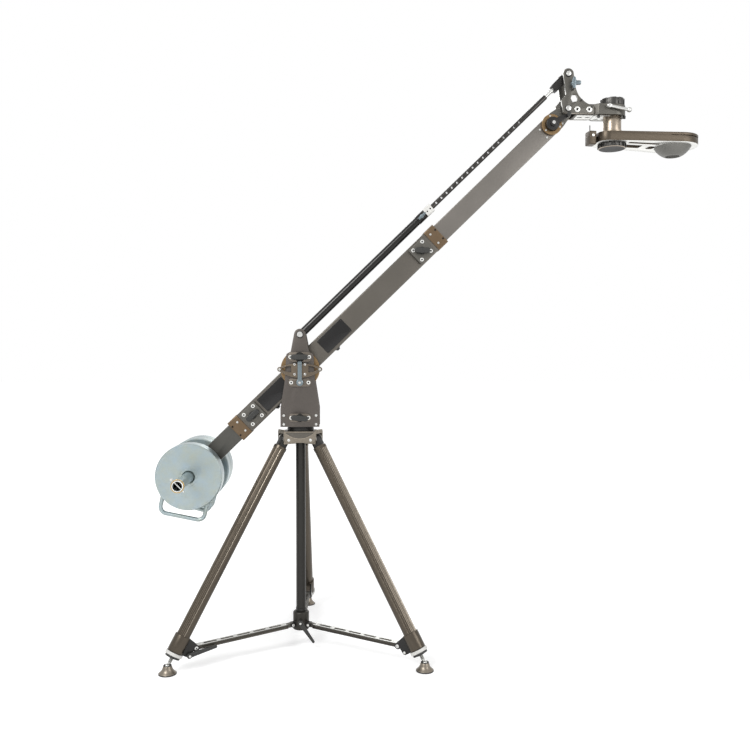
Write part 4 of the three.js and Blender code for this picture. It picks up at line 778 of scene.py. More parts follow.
class CRANE_OT_crown(CraneTool, bpy.types.Operator):
    """Dress the tripod's crown and column: crescents, lips, screws and hinge bolts."""

    bl_idname = "crane.crown"
    bl_label = "Crown"

    def build(self):
        dress_node("crown", "turned_bronze")
        legs = [plane_frame(i) for i in range(LEGS)]
        faces = [leg @ Matrix.Rotation(HALF_TURN + QUARTER, 4, "Z") for leg in legs]
        crown = Group("tripod", UNMOVED)
        panel = slab(crescent(56.6, 23.8, 850.8), "XZ", -65.7, -63.7, 0.3)
        hinge = Matrix.Translation((0, -65.7, 827.2))
        settle(panel, hinge @ Matrix.Rotation(CRESCENT_LEAN, 4, "X") @ hinge.inverted())
        # The rims round the crescents carry a painted highlight in the lighter bronze
        rim = carved(drawn(crescent(57.6, 24.4, 851), "XZ", -66.3, -64.6),
                     drawn(crescent(56.4, 23.2, 851.4), "XZ", -68, -60))
        crown.set(panel, faces, "crown_crescents", "bronze_grey")
        crown.set(rim, faces, "crown_crescent_rims", "rib_bright")
        spots = at("-Y", (-42, -66, 822), (42, -66, 822))
        crown.set(countersunk(5.5), [face @ m for face in faces for m in spots], "crown_screws")
        crown.set(brick((80.4, -26, 854.6), (84.6, 26, 861), 1.2, 3), legs, "crown_lips", "turned_bronze")
        spots = both((LEG_HINGE[0], 26.8, LEG_HINGE[2]))
        crown.set(screw_head(8.5, 3.2), [leg @ m for leg in legs for m in spots], "crown_hinge_bolts", "black_steel")
        column = Group("tripod", crane_frame())
        column.put(wheel(COLUMN_PROFILE, ring=True), "column_tube", "column_grey", "centre_column")
        column.put(wheel(STOP_RING_PROFILE, ring=True), "column_stop_ring", "black_metal")


# A leg's tube: radius, ends, corners from groove to groove, where the grooves start outward
# of the tube's middle, how far in their corners lie, and the radius that only their faces are within
TUBE_RADIUS = 25
TUBE_TOP, TUBE_BOTTOM = -42, -810
CORNERS_PER_GROOVE = 4
GROOVES_FROM = 3
GROOVE_SHARE = 0.945
GROOVE_FACES = 24.5
# Across and along a leg, in its own frame
LUG_SCREW = (-61.8, -828.6)
CLAMP_SCREW = (-46, -860)
CLAMP_TIP = (-125.6, -796.2)
LEG_RING_PROFILE = [(24, -47), (25.4, -47), (26, -46.4), (26, -35.6), (24.8, -34.4), (18, -34)]
SLEEVE_PROFILE = [(22, -806), (29, -806), (30, -807), (30, -867.4), (27.6, -870), (7.3, -870), (7.3, -850), (22, -850)]


class CRANE_OT_legs(CraneTool, bpy.types.Operator):
    """Model the three grooved legs with their knuckles, sleeves, lugs and clamp levers."""

    bl_idname = "crane.legs"
    bl_label = "Legs"

    def build(self):
        self.tubes()
        lug_x, lug_z = LUG_SCREW
        nut_x, nut_z = CLAMP_SCREW
        knuckle = joined(softened(drum(15, -20, 20, "Y"), 1.2), brick((-14.6, -19.8, -36), (14.6, 19.8, 0), 1.2))
        sleeve = carved(wheel(SLEEVE_PROFILE, ring=True), box((-64, -15.2, -872), (-26, 15.2, -803)))
        outline = ([(-18, -806)] + arc(lug_x, lug_z, 12, 90, 270) + [(-56.6, -840.6)]
                   + arc(nut_x, nut_z, 9, 180, 270) + [(-18, -869)])
        pivots = joined(copies(screw_head(7, 2.6), at("-Y", (lug_x, -20.1, lug_z))),
                        copies(countersunk(7), at("Y", (lug_x, 19.75, lug_z))))
        for_each_leg(
            leg_frame, "leg_#_set",
            (knuckle, "leg_knuckle", "black_metal"),
            (wheel(LEG_RING_PROFILE), "leg_ring", "leg_grey"),
            (softened(sleeve, 0.6), "leg_sleeve", "leg_grey"),
            (joined(slab(outline, "XZ", -20.1, -14.6), slab(outline, "XZ", 14.6, 20.1)), "leg_lugs", "black_metal"),
            (joined(drum(17, -20.2, -19.4, "Y"), drum(17, 19.4, 20.2, "Y")), "leg_washers", "bearing"),
            (pivots, "leg_lug_screws", "bright_steel"),
            (copies(bolt_head(6, 3.4), at("-Y", (nut_x, -20.1, nut_z))), "leg_clamp_nut", "bright_steel"))
        handle = slab(tapered(CLAMP_SCREW, 9, CLAMP_TIP, 5.5), "XZ", 20.4, 29.4, 2.4, 4)
        boss = turned([(9.6, 0), (9.6, 3), (8, 4.4)], along="Y", at=(nut_x, 29, nut_z))
        screw = drum(3.5, 14.9, 30, "Y", (nut_x, 0, nut_z))
        end = copies(screw_head(4.6, 2.2), at("Y", (nut_x, 33.3, nut_z)))
        for_each_leg(
            leg_frame, "leg_#_clamp",
            (joined(handle, softened(boss, 0.6)), "leg_clamp_handle", "plastic", "leg_lever_#"),
            (joined(screw, end), "leg_clamp_screw", "bright_steel"))

    def tubes(self):
        """The tubes, with a painted highlight on one side of each groove."""
        tube = self.tube()
        bright = [len(face.vertices) == 4 and math.hypot(face.center.x, face.center.y) < GROOVE_FACES
                  and face.center.x * face.normal.y < face.center.y * face.normal.x
                  for face in tube.data.polygons]
        for i in range(LEGS):
            leg = Group(f"leg_{i + 1}_set", leg_frame(i))
            piece = leg.put(copy_of(tube), f"leg_tube_{i + 1}", "leg_grey", f"leg_{i + 1}", smooth=20)
            piece.data.materials.append(dressing("rib_bright"))
            for face, chosen in zip(piece.data.polygons, bright):
                face.material_index = int(chosen)
        bpy.data.objects.remove(tube)

    def tube(self):
        """A closed tube: every fourth corner of its outer half is drawn in."""
        sides = detail().leg_ribs * CORNERS_PER_GROOVE * 2
        fresh()
        bpy.ops.mesh.primitive_circle_add(
            vertices=sides, radius=TUBE_RADIUS, fill_type="NGON", location=(0, 0, TUBE_TOP))
        piece = bpy.context.object
        bpy.ops.object.mode_set(mode="EDIT")
        bpy.ops.mesh.extrude_region_move(TRANSFORM_OT_translate={"value": (0, 0, TUBE_BOTTOM - TUBE_TOP)})
        bpy.ops.mesh.select_all(action="DESELECT")
        bpy.ops.object.mode_set(mode="OBJECT")
        for vertex in piece.data.vertices:
            turn = math.atan2(vertex.co.y, vertex.co.x) / (2 * math.pi) * sides
            vertex.select = vertex.co.x > GROOVES_FROM and round(turn) % CORNERS_PER_GROOVE == 0
        bpy.ops.object.mode_set(mode="EDIT")
        bpy.ops.transform.resize(value=(GROOVE_SHARE, GROOVE_SHARE, 1), center_override=(0, 0, 0))
        return closed(piece)


WHITE_RING_PROFILE = [(24, -870.6), (32, -870.6), (33, -871.6), (33, -881), (32, -882), (24, -882)]
BLACK_RING_PROFILE = [
    (7.4, -882.3), (27.4, -882.3), (28, -883), (28, -889.6), (27.2, -890.3), (14, -890.3), (13, -893), (7.4, -893),
]
GRIP_FLUTES = 18
THREAD_LOW, THREAD_HIGH, THREAD_PITCH = -908, -812, 2.4
FOOT_SWIVEL = 28
PAD_PROFILE = [
    (0.6, 0), (31, 0), (31.8, 0.6), (31.8, 4), (30, 6), (27, 8.6), (23.5, 12), (20, 17), (17.6, 22.5),
    (16.4, 27), (14, 31), (10.9, 31), (10.9, 28), (9.4, 22.4), (6, 19), (0.6, 17.2),
]
RIM_PROFILE = [(29, 0.2), (32.2, 0.2), (32.5, 1), (32.5, 3.6), (31.8, 4.2), (29, 4.2)]
BOOT_PROFILE = [(11.4, 30.4), (14.6, 30.4), (15, 31), (14.4, 33), (11.6, 33)]


class CRANE_OT_feet(CraneTool, bpy.types.Operator):
    """Turn the levelling feet: rings, spindle, ball and pad."""

    bl_idname = "crane.feet"
    bl_label = "Feet"

    def build(self):
        threads, low = [], THREAD_LOW
        while low < THREAD_HIGH:
            threads += [(7, low), (6.3, low + THREAD_PITCH / 2)]
            low += THREAD_PITCH
        spindle = turned([(5, -920), (5, -914)] + threads + [(7, THREAD_HIGH)])
        for_each_leg(
            leg_frame, "foot_#",
            (wheel(WHITE_RING_PROFILE, ring=True), "foot_white_ring", "foot_white"),
            (self.knurled_ring(), "foot_black_ring", "foot_black"),
            (joined(spindle, turned(sphere(10, -924.4, 80, 16))), "foot_spindle", "foot_steel", "foot_screw_#"))
        reach = LEG_HINGE[0] + (LEG_HINGE[2] - FOOT_SWIVEL) * math.tan(stance().leg_splay)
        for_each_leg(
            lambda i: plane_frame(i) @ Matrix.Translation((reach, 0, 0)), "pad_#",
            (wheel(PAD_PROFILE, ring=True), "foot_bell", "turned_bronze", "foot_pad_#"),
            (wheel(RIM_PROFILE, ring=True), "foot_rim", "rubber"),
            (wheel(BOOT_PROFILE, ring=True), "foot_boot", "rubber"))

    def knurled_ring(self):
        """A black ring with shallow grip flutes."""
        flutes = [drum(2, -892, -880, at=(29.2 * math.cos(a), 29.2 * math.sin(a), 0), sides=10)
                  for a in [2 * math.pi * k / GRIP_FLUTES for k in range(GRIP_FLUTES)]]
        return carved(wheel(BLACK_RING_PROFILE, ring=True), joined(*flutes))


HUB_PROFILE = [
    (19.3, 71), (30.5, 71), (31.5, 72), (31.5, 103), (30.6, 103.6), (30.6, 105), (31.5, 105.6),
    (31.5, 136), (29.8, 139), (27, 141), (19.3, 141),
]
# The arms' inner pivots: distance from the column and height
ARM_PIVOT, ARM_LEVEL = 40, 91.6
SLOTS = 5
SLOT_GAP = 14
HUB_SCREW = 107
HUB_HANDLE = -51.8
HUB_HANDLE_TURN = radians(-55.6)


class CRANE_OT_spreader(CraneTool, bpy.types.Operator):
    """Model the spreader's hub, its three slotted arms and its lever."""

    bl_idname = "crane.spreader"
    bl_label = "Spreader"

    def build(self):
        self.hub()
        self.arms()
        self.lever()

    def hub(self):
        hub = Group("spreader", crane_frame())
        slit = settle(box((20, -1.2, 96), (36, 1.2, 142)), Matrix.Rotation(radians(-150), 4, "Z"))
        ring = carved(wheel(HUB_PROFILE, ring=True), slit)
        hub.put(softened(ring, 0.5), "spreader_ring", "hub_grey", "spreader_hub")
        cheek = rounded(26, 18, 8.8, 36, ARM_LEVEL)
        pair = joined(slab(cheek, "XZ", -11.6, -6.6), slab(cheek, "XZ", 6.6, 11.6))
        turns = [leg_turn(i) for i in range(LEGS)]
        hub.set(pair, turns, "spreader_ears", "black_metal")
        spots = [turn @ m for turn in turns for m in both((ARM_PIVOT, 11.6, ARM_LEVEL))]
        hub.set(screw_head(5.4, 2.4), spots, "spreader_ear_screws")

    def arms(self):
        sine, cosine = math.sin(stance().leg_splay), math.cos(stance().leg_splay)
        across, along = LUG_SCREW
        run = LEG_HINGE[0] - along * sine + across * cosine - ARM_PIVOT
        drop = ARM_LEVEL - (LEG_HINGE[2] + along * cosine + across * sine)
        length, dip = math.hypot(drop, run), math.atan2(drop, run)
        bar = carved(box((22, -14, -7.5), (length - 2, 14, 7.5)), drum(10, -14, 14, "Y", (length, 0, 0)),
                     operation="UNION")
        first, last = 46, length - 34
        step = (last - first + SLOT_GAP) / SLOTS
        slot = step - SLOT_GAP
        middles = [first + k * step + slot / 2 for k in range(SLOTS)]
        slots = [drawn(pill(slot, 12, x), "XY", -14, 14) for x in middles]
        sides = [drawn(rounded(length - 60, 6, 2, length / 2 + 8), "XZ", low, low + 5) for low in (-18, 13)]
        bar = softened(carved(bar, joined(*slots), joined(*sides)), 0.9)
        tongue = joined(brick((0, -6, -8.7), (25, 6, 8.7), 0.8), softened(drum(8.7, -6, 6, "Y"), 0.8))
        screws = copies(countersunk(4.6), at("Z", (30, 0, 7.2), (length - 22, 0, 7.2)))
        # The webs in the slots are black: painted shade inside the slots
        web = joined(*[drawn(pill(slot - 0.6, 11.4, x), "XY", -4.5, -3.2) for x in middles])

        def arm_frame(i):
            return (plane_frame(i) @ Matrix.Translation((ARM_PIVOT, 0, ARM_LEVEL))
                    @ Matrix.Rotation(dip, 4, "Y"))

        for_each_leg(
            arm_frame, "arm_#",
            (bar, "spreader_bar", "arm_side", "spreader_arm_#"),
            (tongue, "spreader_tongue", "head_grey"),
            (screws, "spreader_bar_screws", "bright_steel"),
            (web, "spreader_bar_web", "black_metal"))
        # Painted highlight: each bar's top faces get the light foot steel colour
        for i in range(LEGS):
            back = arm_frame(i).inverted()
            paint_faces(bpy.data.objects[f"spreader_bar_{i + 1}"], "foot_steel",
                        lambda centre, normal: normal.z > 0.9 and (back @ centre).z > 7)

    def lever(self):
        clamp = Group("hub_clamp", crane_frame())
        tip = (88 * math.cos(HUB_HANDLE_TURN), HUB_SCREW + 88 * math.sin(HUB_HANDLE_TURN))
        handle = slab(tapered((0, HUB_SCREW), 8.6, tip, 5), "XZ", HUB_HANDLE - 7, HUB_HANDLE + 2, 2.4, 4)
        boss = turned([(8, 0), (8, 18), (9.4, 19.4), (9.4, 26), (8, 27)], along="-Y", at=(0, -31.8, HUB_SCREW))
        clamp.put(joined(handle, softened(boss, 0.5)), "hub_clamp_handle", "plastic", "hub_lever")
        head = copies(screw_head(4.4, 2.2), at("-Y", (0, HUB_HANDLE - 7, HUB_SCREW)))
        clamp.put(joined(drum(3.5, 20, 50, "-Y", (0, 0, HUB_SCREW)), head), "hub_clamp_screw", "bright_steel")


TURNTABLE_PROFILE = [
    (48, 855.3), (50, 855.3), (51, 856.3), (51, 866), (49.6, 866.6), (49.6, 868), (51, 868.6), (51, 874),
]


class CRANE_OT_tower_base(CraneTool, bpy.types.Operator):
    """Model the turntable and the tower's base block."""

    bl_idname = "crane.tower_base"
    bl_label = "Tower Base"

    def build(self):
        tower = Group("tower", crane_frame())
        block = brick((-70, -50.7, 872), (70, 50.7, 925), 1.5, 3)
        tower.put(joined(wheel(TURNTABLE_PROFILE), block), "turntable_block", "black_metal", "tower_base")
        spots = at("X", (70, -30, 898), (70, 30, 898)) + at("-X", (-70, -30, 898), (-70, 30, 898))
        tower.set(screw_head(6, 3.4), spots, "tower_base_side_screws")
        ring = wheel([(51, 861), (52.2, 861.4), (52.2, 863.6), (51, 864)], ring=True)
        tower.put(ring, "turntable_ring", "black_steel")


# The tower plates' outer faces, the pads' faces and the heights of what sits on them
PLATE_FACE = 60
PAD_FACE = 65
TILT_LOCK = 1142
PAN_LOCK = 908
ROD_BOLT = 1229
# Height, length, width and bore of each pad
TOWER_PADS = [(TILT_LOCK, 92, 38, 6.4), (1044, 88, 32, 6.4), (PAN_LOCK, 86, 32, 6.4)]
TOWER_EDGE = [
    (75, 872.6), (75, 943), (74.2, 948), (58.6, 1049), (57.8, 1055), (52.2, 1150), (50, 1155), (35, 1163.4),
]


class CRANE_OT_tower(CraneTool, bpy.types.Operator):
    """Model the side plates with their bosses, the rod's bolt and all screws."""

    bl_idname = "crane.tower"
    bl_label = "Tower Plates"

    def build(self):
        tower = Group("tower", crane_frame())
        outline = TOWER_EDGE + arc(0, ROD_BOLT, 22, 9.5, 170.5, 28) + [(-x, z) for x, z in reversed(TOWER_EDGE)]
        for name, low in (("near", -PLATE_FACE), ("far", PLATE_FACE - 9)):
            plate = carved(drawn(outline, "XZ", low, low + 9), drum(15.4, -70, 70, "Y", (0, 0, 1095), 48))
            tower.put(softened(plate), "tower_" + name, "tower_grey", "tower_plate_" + name)
        pads = [softened(carved(drawn(pill(length, width, 0, height, 16), "XZ", -PAD_FACE, -59.6),
                                drum(bore, 55, 70, "-Y", (0, 0, height))), 1)
                for height, length, width, bore in TOWER_PADS]
        tower.put(joined(*pads), "tower_pads", "pad_grey")
        shoulders = [turned([(19, 0), (19, 1.6), (18, 2.4)], along="-Y", at=(0, -PAD_FACE, TILT_LOCK)),
                     turned([(16, 0), (16, 1.2), (15, 2)], along="-Y", at=(0, -PAD_FACE, PAN_LOCK))]
        tower.put(joined(*shoulders), "tower_pad_washers", "black_metal")
        corners = both(*[(x, PLATE_FACE, z) for x in (-62, 62) for z in (917, 883)])
        tower.set(screw_head(5.2, 3.2), corners, "tower_corner_screws")
        small = [(s * x, z) for x, z in ((36, TILT_LOCK), (33, 1044), (33, PAN_LOCK)) for s in (-1, 1)]
        ring_screws(tower, at("-Y", *[(x, -PAD_FACE, z) for x, z in small]), "tower_pad")
        tower.put(turned([(16, 0), (16, 2), (14.5, 3)], along="Y", at=(0, PLATE_FACE, 1095)),
                  "tower_axle_cover", "black_metal")
        axis = (0, 0, ROD_BOLT)
        spacers = [drum(12, 20.4, 51.2, aim, axis) for aim in ("Y", "-Y")]
        tower.put(joined(drum(8, -58, 58, "Y", axis), *spacers), "rod_bolt", "black_steel")
        tower.set(screw_head(11, 5), both((0, PLATE_FACE + 1, ROD_BOLT)), "rod_bolt_heads")
        tower.set(turned([(14, 0), (14, 1), (13.4, 1.4)]), both((0, PLATE_FACE, ROD_BOLT)),
                  "rod_bolt_washers", "black_steel")
        tower.set(screw_head(4, 2.6), at("Y", *[(x, PLATE_FACE, z) for x, z in small[:4]]), "tower_far_screws")


ARCH_FACE = -71.3
ARCH_WINDOW = [(33, 13), (50, 11), (70, 1), (70, -1), (50, -10), (33, -12)]
HANDLE_FACE = -79.9
HANDLE_BOLT = -51


class CRANE_OT_brake(CraneTool, bpy.types.Operator):
    """Model the brake bridge and its steel lever."""

    bl_idname = "crane.brake"
    bl_label = "Tilt Brake"

    def build(self):
        place = crane_frame() @ Matrix.Translation((0, 0, stance().pivot_height))
        tower, brake = Group("tower", place), Group("tilt_brake", place)
        outline = [(-77, -9)] + bow((-77, -9), (0, -57), (77, -9), 32) + arc(77, 0, 9, -90, 90)
        outline += bow((77, 9), (0, 37), (-77, 9), 32) + arc(-77, 0, 9, 90, 270)[:-1]
        windows = [slab([(s * x, z) for x, z in ARCH_WINDOW], "XZ", -75, -55, 1.6, 3) for s in (-1, 1)]
        bridge = carved(drawn(outline, "XZ", ARCH_FACE, ARCH_FACE + 11), *windows)
        tower.put(softened(bridge, 1.1, 3), "brake_arch", "arch_bronze", "brake_bridge")
        tower.set(countersunk(4.4), at("-Y", *[(x, -71.25, z) for x in (-20, 20) for z in (-19, 19)]),
                  "brake_arch_screws")
        tower.set(screw_head(5, 4), at("-Y", (-77, ARCH_FACE, 0), (77, ARCH_FACE, 0)), "brake_arch_bolts")
        bar = slab(pill(92, 16, 0, 0, 12), "XZ", HANDLE_FACE, HANDLE_FACE + 8, 1.6, 3)
        settle(bar, Matrix.Translation((0, 0, -13)) @ Matrix.Rotation(QUARTER, 4, "Y"))
        boss = turned([(6, -3), (6, 0.4), (13, 0.4), (13, 5.8), (9, 7), (9, 14.6)], along="-Y",
                      at=(0, -PAD_FACE, HANDLE_BOLT))
        grip = turned([(5, 0), (5.6, 0.8), (5.6, 2.6), (4.6, 3.4)], along="-Y", at=(0, HANDLE_FACE, 24))
        brake.put(joined(bar, softened(boss, 0.5), grip), "brake_handle", "blue_steel", "brake_lever")
        brake.set(screw_head(5, 3), at("-Y", (0, HANDLE_FACE, HANDLE_BOLT)), "brake_handle_screw")


# Places of the clamps along the boom
CLAMPS = (("front", 661), ("rear", -255))
# Length, near face, seat and screw end of a wing knob, the last three across the boom
TOWER_KNOB = (64, -97, -67.4, -53)
BOOM_KNOB = (60, -57.6, -36.6, -28.3)
PAN_LOCK_TURN = radians(6)


class CRANE_OT_wing_knobs(CraneTool, bpy.types.Operator):
    """Model the four wing knobs of the tower and the boom."""

    bl_idname = "crane.wing_knobs"
    bl_label = "Wing Knobs"

    def build(self):
        tower, boom = crane_frame(), boom_frame()
        upright = Matrix.Rotation(stance().boom_angle, 4, "Y")
        (_, front), (_, rear) = CLAMPS
        self.knob("tilt_lock", "tilt_knob", tower @ Matrix.Translation((0, 0, TILT_LOCK)), *TOWER_KNOB)
        self.knob("pan_lock", "pan_knob",
                  tower @ Matrix.Translation((0, 0, PAN_LOCK)) @ Matrix.Rotation(PAN_LOCK_TURN, 4, "Y"), *TOWER_KNOB)
        self.knob("front_clamp", "front_clamp_knob", boom @ Matrix.Translation((front, 0, 0)) @ upright, *BOOM_KNOB)
        self.knob("rear_clamp", "rear_clamp_knob", boom @ Matrix.Translation((rear, 0, 0)), *BOOM_KNOB)

    def knob(self, body, node, place, length, near, seat, screw_end):
        """A moulded knob that faces -Y, with its two wings along X."""
        group = Group(body, place)
        depth = seat - near
        wings = slab(rounded(length, 20, 8), "XZ", near, near + 13, 2.8, 4)
        hub = turned([(13, 0), (13, 1.6), (11.6, 3), (11.2, depth - 9), (10, depth - 5)], along="-Y", at=(0, seat, 0))
        group.put(joined(wings, softened(hub, 0.7)), body + "_wings", "plastic", node)
        group.put(drum(6, -abs(screw_end - seat), 3, "-Y", (0, seat, 0)), body + "_stem", "bright_steel")


# Name, start, bored length, bright screws and plain holes of each collar, along the boom
COLLARS = (("front", 713, (711, 757), 729, 755), ("rear", -350, (-346, -300), -318, -344))
BLANK_PLATES = (185, -140)
BRAKE_DISC_PROFILE = [
    (73.6, 28.3), (75, 29.6), (75, 33.6), (73.8, 34.2), (73.8, 35.6), (75, 36.2), (75, 40), (73.8, 41.3),
    (58, 41.3), (57.2, 40.6), (40, 40.6), (39.2, 41.3), (24, 41.3),
]


def tube(height, width, wall, start, end, corner):
    """A hollow rectangular extrusion along X with rounded corners."""
    outer = drawn(rounded(width, height, corner), "YZ", start, end)
    inner = drawn(rounded(width - 2 * wall, height - 2 * wall, max(1, corner - wall / 2)), "YZ", start - 5, end + 5)
    return softened(carved(outer, inner), 0.5)


def disc_sides():
    """Sides of the widest turned pieces."""
    return detail().sides + 24


class CRANE_OT_boom(CraneTool, bpy.types.Operator):
    """Model the boom's three tubes, collars, clamps and brake discs."""

    bl_idname = "crane.boom"
    bl_label = "Boom"

    def build(self):
        place = boom_frame()
        boom, front, rear = Group("boom", place), Group("front_arm", place), Group("rear_arm", place)
        boom.put(tube(87, 56, 4, -345.7, 756.7, 4.5), "boom_tube", "bronze_grey", "centre_tube")
        front.put(tube(75, 44, 3.5, 480, 1400, 3.5), "front_arm_tube", "front_grey", "front_tube")
        piece = carved(tube(75, 44, 3.5, -618, -130, 3.5), drum(20.4, -40, 40, "Y", (WEIGHT_AXLE, 0, 0), 48))
        rear.put(piece, "rear_arm_tube", "rear_grey", "rear_tube")
        rear.put(slab(rounded(36.4, 67.4, 2), "YZ", -618, -610, 0.8), "rear_arm_cap", "plastic")
        self.collars(boom)
        self.clamps(boom)
        discs = [turned(BRAKE_DISC_PROFILE, disc_sides(), along=aim) for aim in ("Y", "-Y")]
        boom.put(joined(*discs), "brake_discs", "disc_bronze", "trunnion")
        boom.put(softened(drum(15, -59.7, 59.7, "Y", sides=48), 1), "tilt_axle", "black_steel")
        plates = [slab(rounded(130, 64, 4, s), "XZ", -30.3, -27.9, 0.5) for s in BLANK_PLATES]
        boom.put(joined(*plates), "boom_blank_plates", "black_gloss")
        rivets = at("-Y", *[(s + x, -30.3, z) for s in BLANK_PLATES for x in (-59, 59) for z in (-26, 26)])
        boom.set(turned([(2.6, 0), (2.2, 0.8), (1.2, 1.2)], 16), rivets, "boom_plate_rivets", "black_metal")
        bolt = joined(turned([(11, 0), (11, 2), (10, 2.8)]), bolt_head(8, 7))
        boom.set(bolt, at("-Z", (161, 0, -43.5), (-166, 0, -43.5)), "boom_under_bolts", "black_steel")

    def collars(self, boom):
        for name, low, bored, bright, plain in COLLARS:
            collar = carved(drawn(rounded(60, 91, 5), "YZ", low, low + 48),
                            drawn(rounded(56.6, 87.6, 4.6), "YZ", *bored),
                            drawn(rounded(44.6, 75.6, 3.6), "YZ", low - 3, low + 51))
            boom.put(softened(collar, 1.2, 3), name + "_collar_shell", "collar_bronze", name + "_collar")
            boom.set(screw_head(4.4, 2.4), both((bright, 30, 22.4), (bright, 30, -22.4)), name + "_collar_screws")
            # Thin black discs stand for the plain holes: painted shade in the holes
            boom.set(turned([(4, 0), (4, 0.4), (2.6, 0.1)], 24), both((plain, 29.9, 22.4), (plain, 29.9, -22.4)),
                     name + "_collar_holes", "black_metal")

    def clamps(self, boom):
        for name, s in CLAMPS:
            plate = carved(drawn(rounded(78, 72, 5, s), "XZ", -36.3, -28.3), drum(6.4, 20, 50, "-Y", (s, 0, 0)))
            boom.put(softened(plate, 1.2, 3), name + "_clamp_block", "dark_grey", name + "_clamp_plate")
            ring_screws(boom, at("-Y", *[(s + x, -36.3, z) for x in (-24.4, 24.4) for z in (-24.6, 24.6)]),
                        name + "_clamp")
            washer = turned([(15, 0), (15, 1), (14.4, 1.4)], along="-Y", at=(s, -36.3, 0))
            boom.put(washer, name + "_clamp_washer", "black_metal")


LOCK_RING_PROFILE = [(26, 22.3), (39, 22.3), (40, 23.2), (40, 29.4), (39, 30.3), (27, 30.3), (26, 29.4)]
KNOB_PROFILE = [(6, 0), (6.4, 3), (7.4, 6), (8.7, 10), (9, 13), (8.7, 16), (7, 18.2), (4, 19)]


def axle(group, name, radius, head):
    """An axle between the head's plates, with its washers and heads."""
    washers = [turned([(13, 47.3), (13, 48.6), (12.4, 49)], along=a, at=(REACH, 0, 0)) for a in ("Y", "-Y")]
    group.put(joined(drum(radius, -48, 48, "Y", (REACH, 0, 0)), *washers), name, "black_steel")
    group.set(bolt_head(head, 4), both((REACH, 48.8, 0)), name + "_heads")


class CRANE_OT_boom_end(CraneTool, bpy.types.Operator):
    """Model the end of the boom, the main axle and the head lock."""

    bl_idname = "crane.boom_end"
    bl_label = "Boom End"

    def build(self):
        arm = Group("front_arm", boom_frame())
        tongue = slab([(1400.3, -37.5)] + arc(REACH, 0, 27, -90, 90, 20) + [(1400.3, 37.5)], "XZ", -22, 22, 1.4, 3)
        plug = brick((1360, -18, -33.4), (1402, 18, 33.4), 1)
        spacer = softened(drum(16, -36.7, 36.7, "Y", (REACH, 0, 0)), 0.8)
        arm.put(joined(tongue, plug, spacer), "boom_tongue", "dark_grey", "boom_end")
        axle(arm, "main_axle", 10, 11.4)
        arm.set(screw_head(4.2, 2.4), both((1407, 22, 17), (1326, 22, 18), (1326, 22, -23), (1408, 22, -26)),
                "boom_end_screws")
        arm.put(wheel(LOCK_RING_PROFILE, True, "-Y", (HEAD_LOCK, 0, 0)), "lock_ring", "disc_bronze", "head_lock_disc")
        holes = [(HEAD_LOCK + 33 * math.cos(a), -30.3, 33 * math.sin(a)) for a in map(radians, (60, 180, 300))]
        arm.set(screw_head(3.6, 2), at("-Y", *holes), "lock_ring_screws")
        self.lever()

    def lever(self):
        clamp = Group("head_clamp", boom_frame() @ Matrix.Translation((HEAD_LOCK, 0, 0)))
        hub = wheel([(25.7, 22.3), (25.7, 46.6), (24, 48.3), (13, 48.3), (13, 60)], along="-Y")
        arm = slab(tapered((0, 0), 13, (61, -18), 7, 18), "XZ", -59.6, -53.6, 1.2, 3)
        clamp.put(joined(softened(hub, 0.7), arm), "head_clamp_lever", "black_steel", "head_lock_lever")
        clamp.put(turned(KNOB_PROFILE, along="-Y", at=(61, -56.6, -18)), "head_clamp_knob", "plastic")
        clamp.set(screw_head(6.5, 2.6), at("-Y", (0, -60, 0)), "head_clamp_screw")


# Along the levelling rod: its pull pin, its first hole and the holes' spacing
ROD_PIN = 660
FIRST_HOLE, HOLE_PITCH, HOLES = 743.6, 28.5, 17
PIPE_PROFILE = [(12, 36), (12, 682), (15.4, 682), (16, 681), (16, 650), (16, 8), (12, 8)]
STUD_PROFILE = [(6.5, 1343), (6.5, 1374), (9.5, 1374.4), (9.5, 1381), (6.6, 1381.4), (6.6, 1388)]


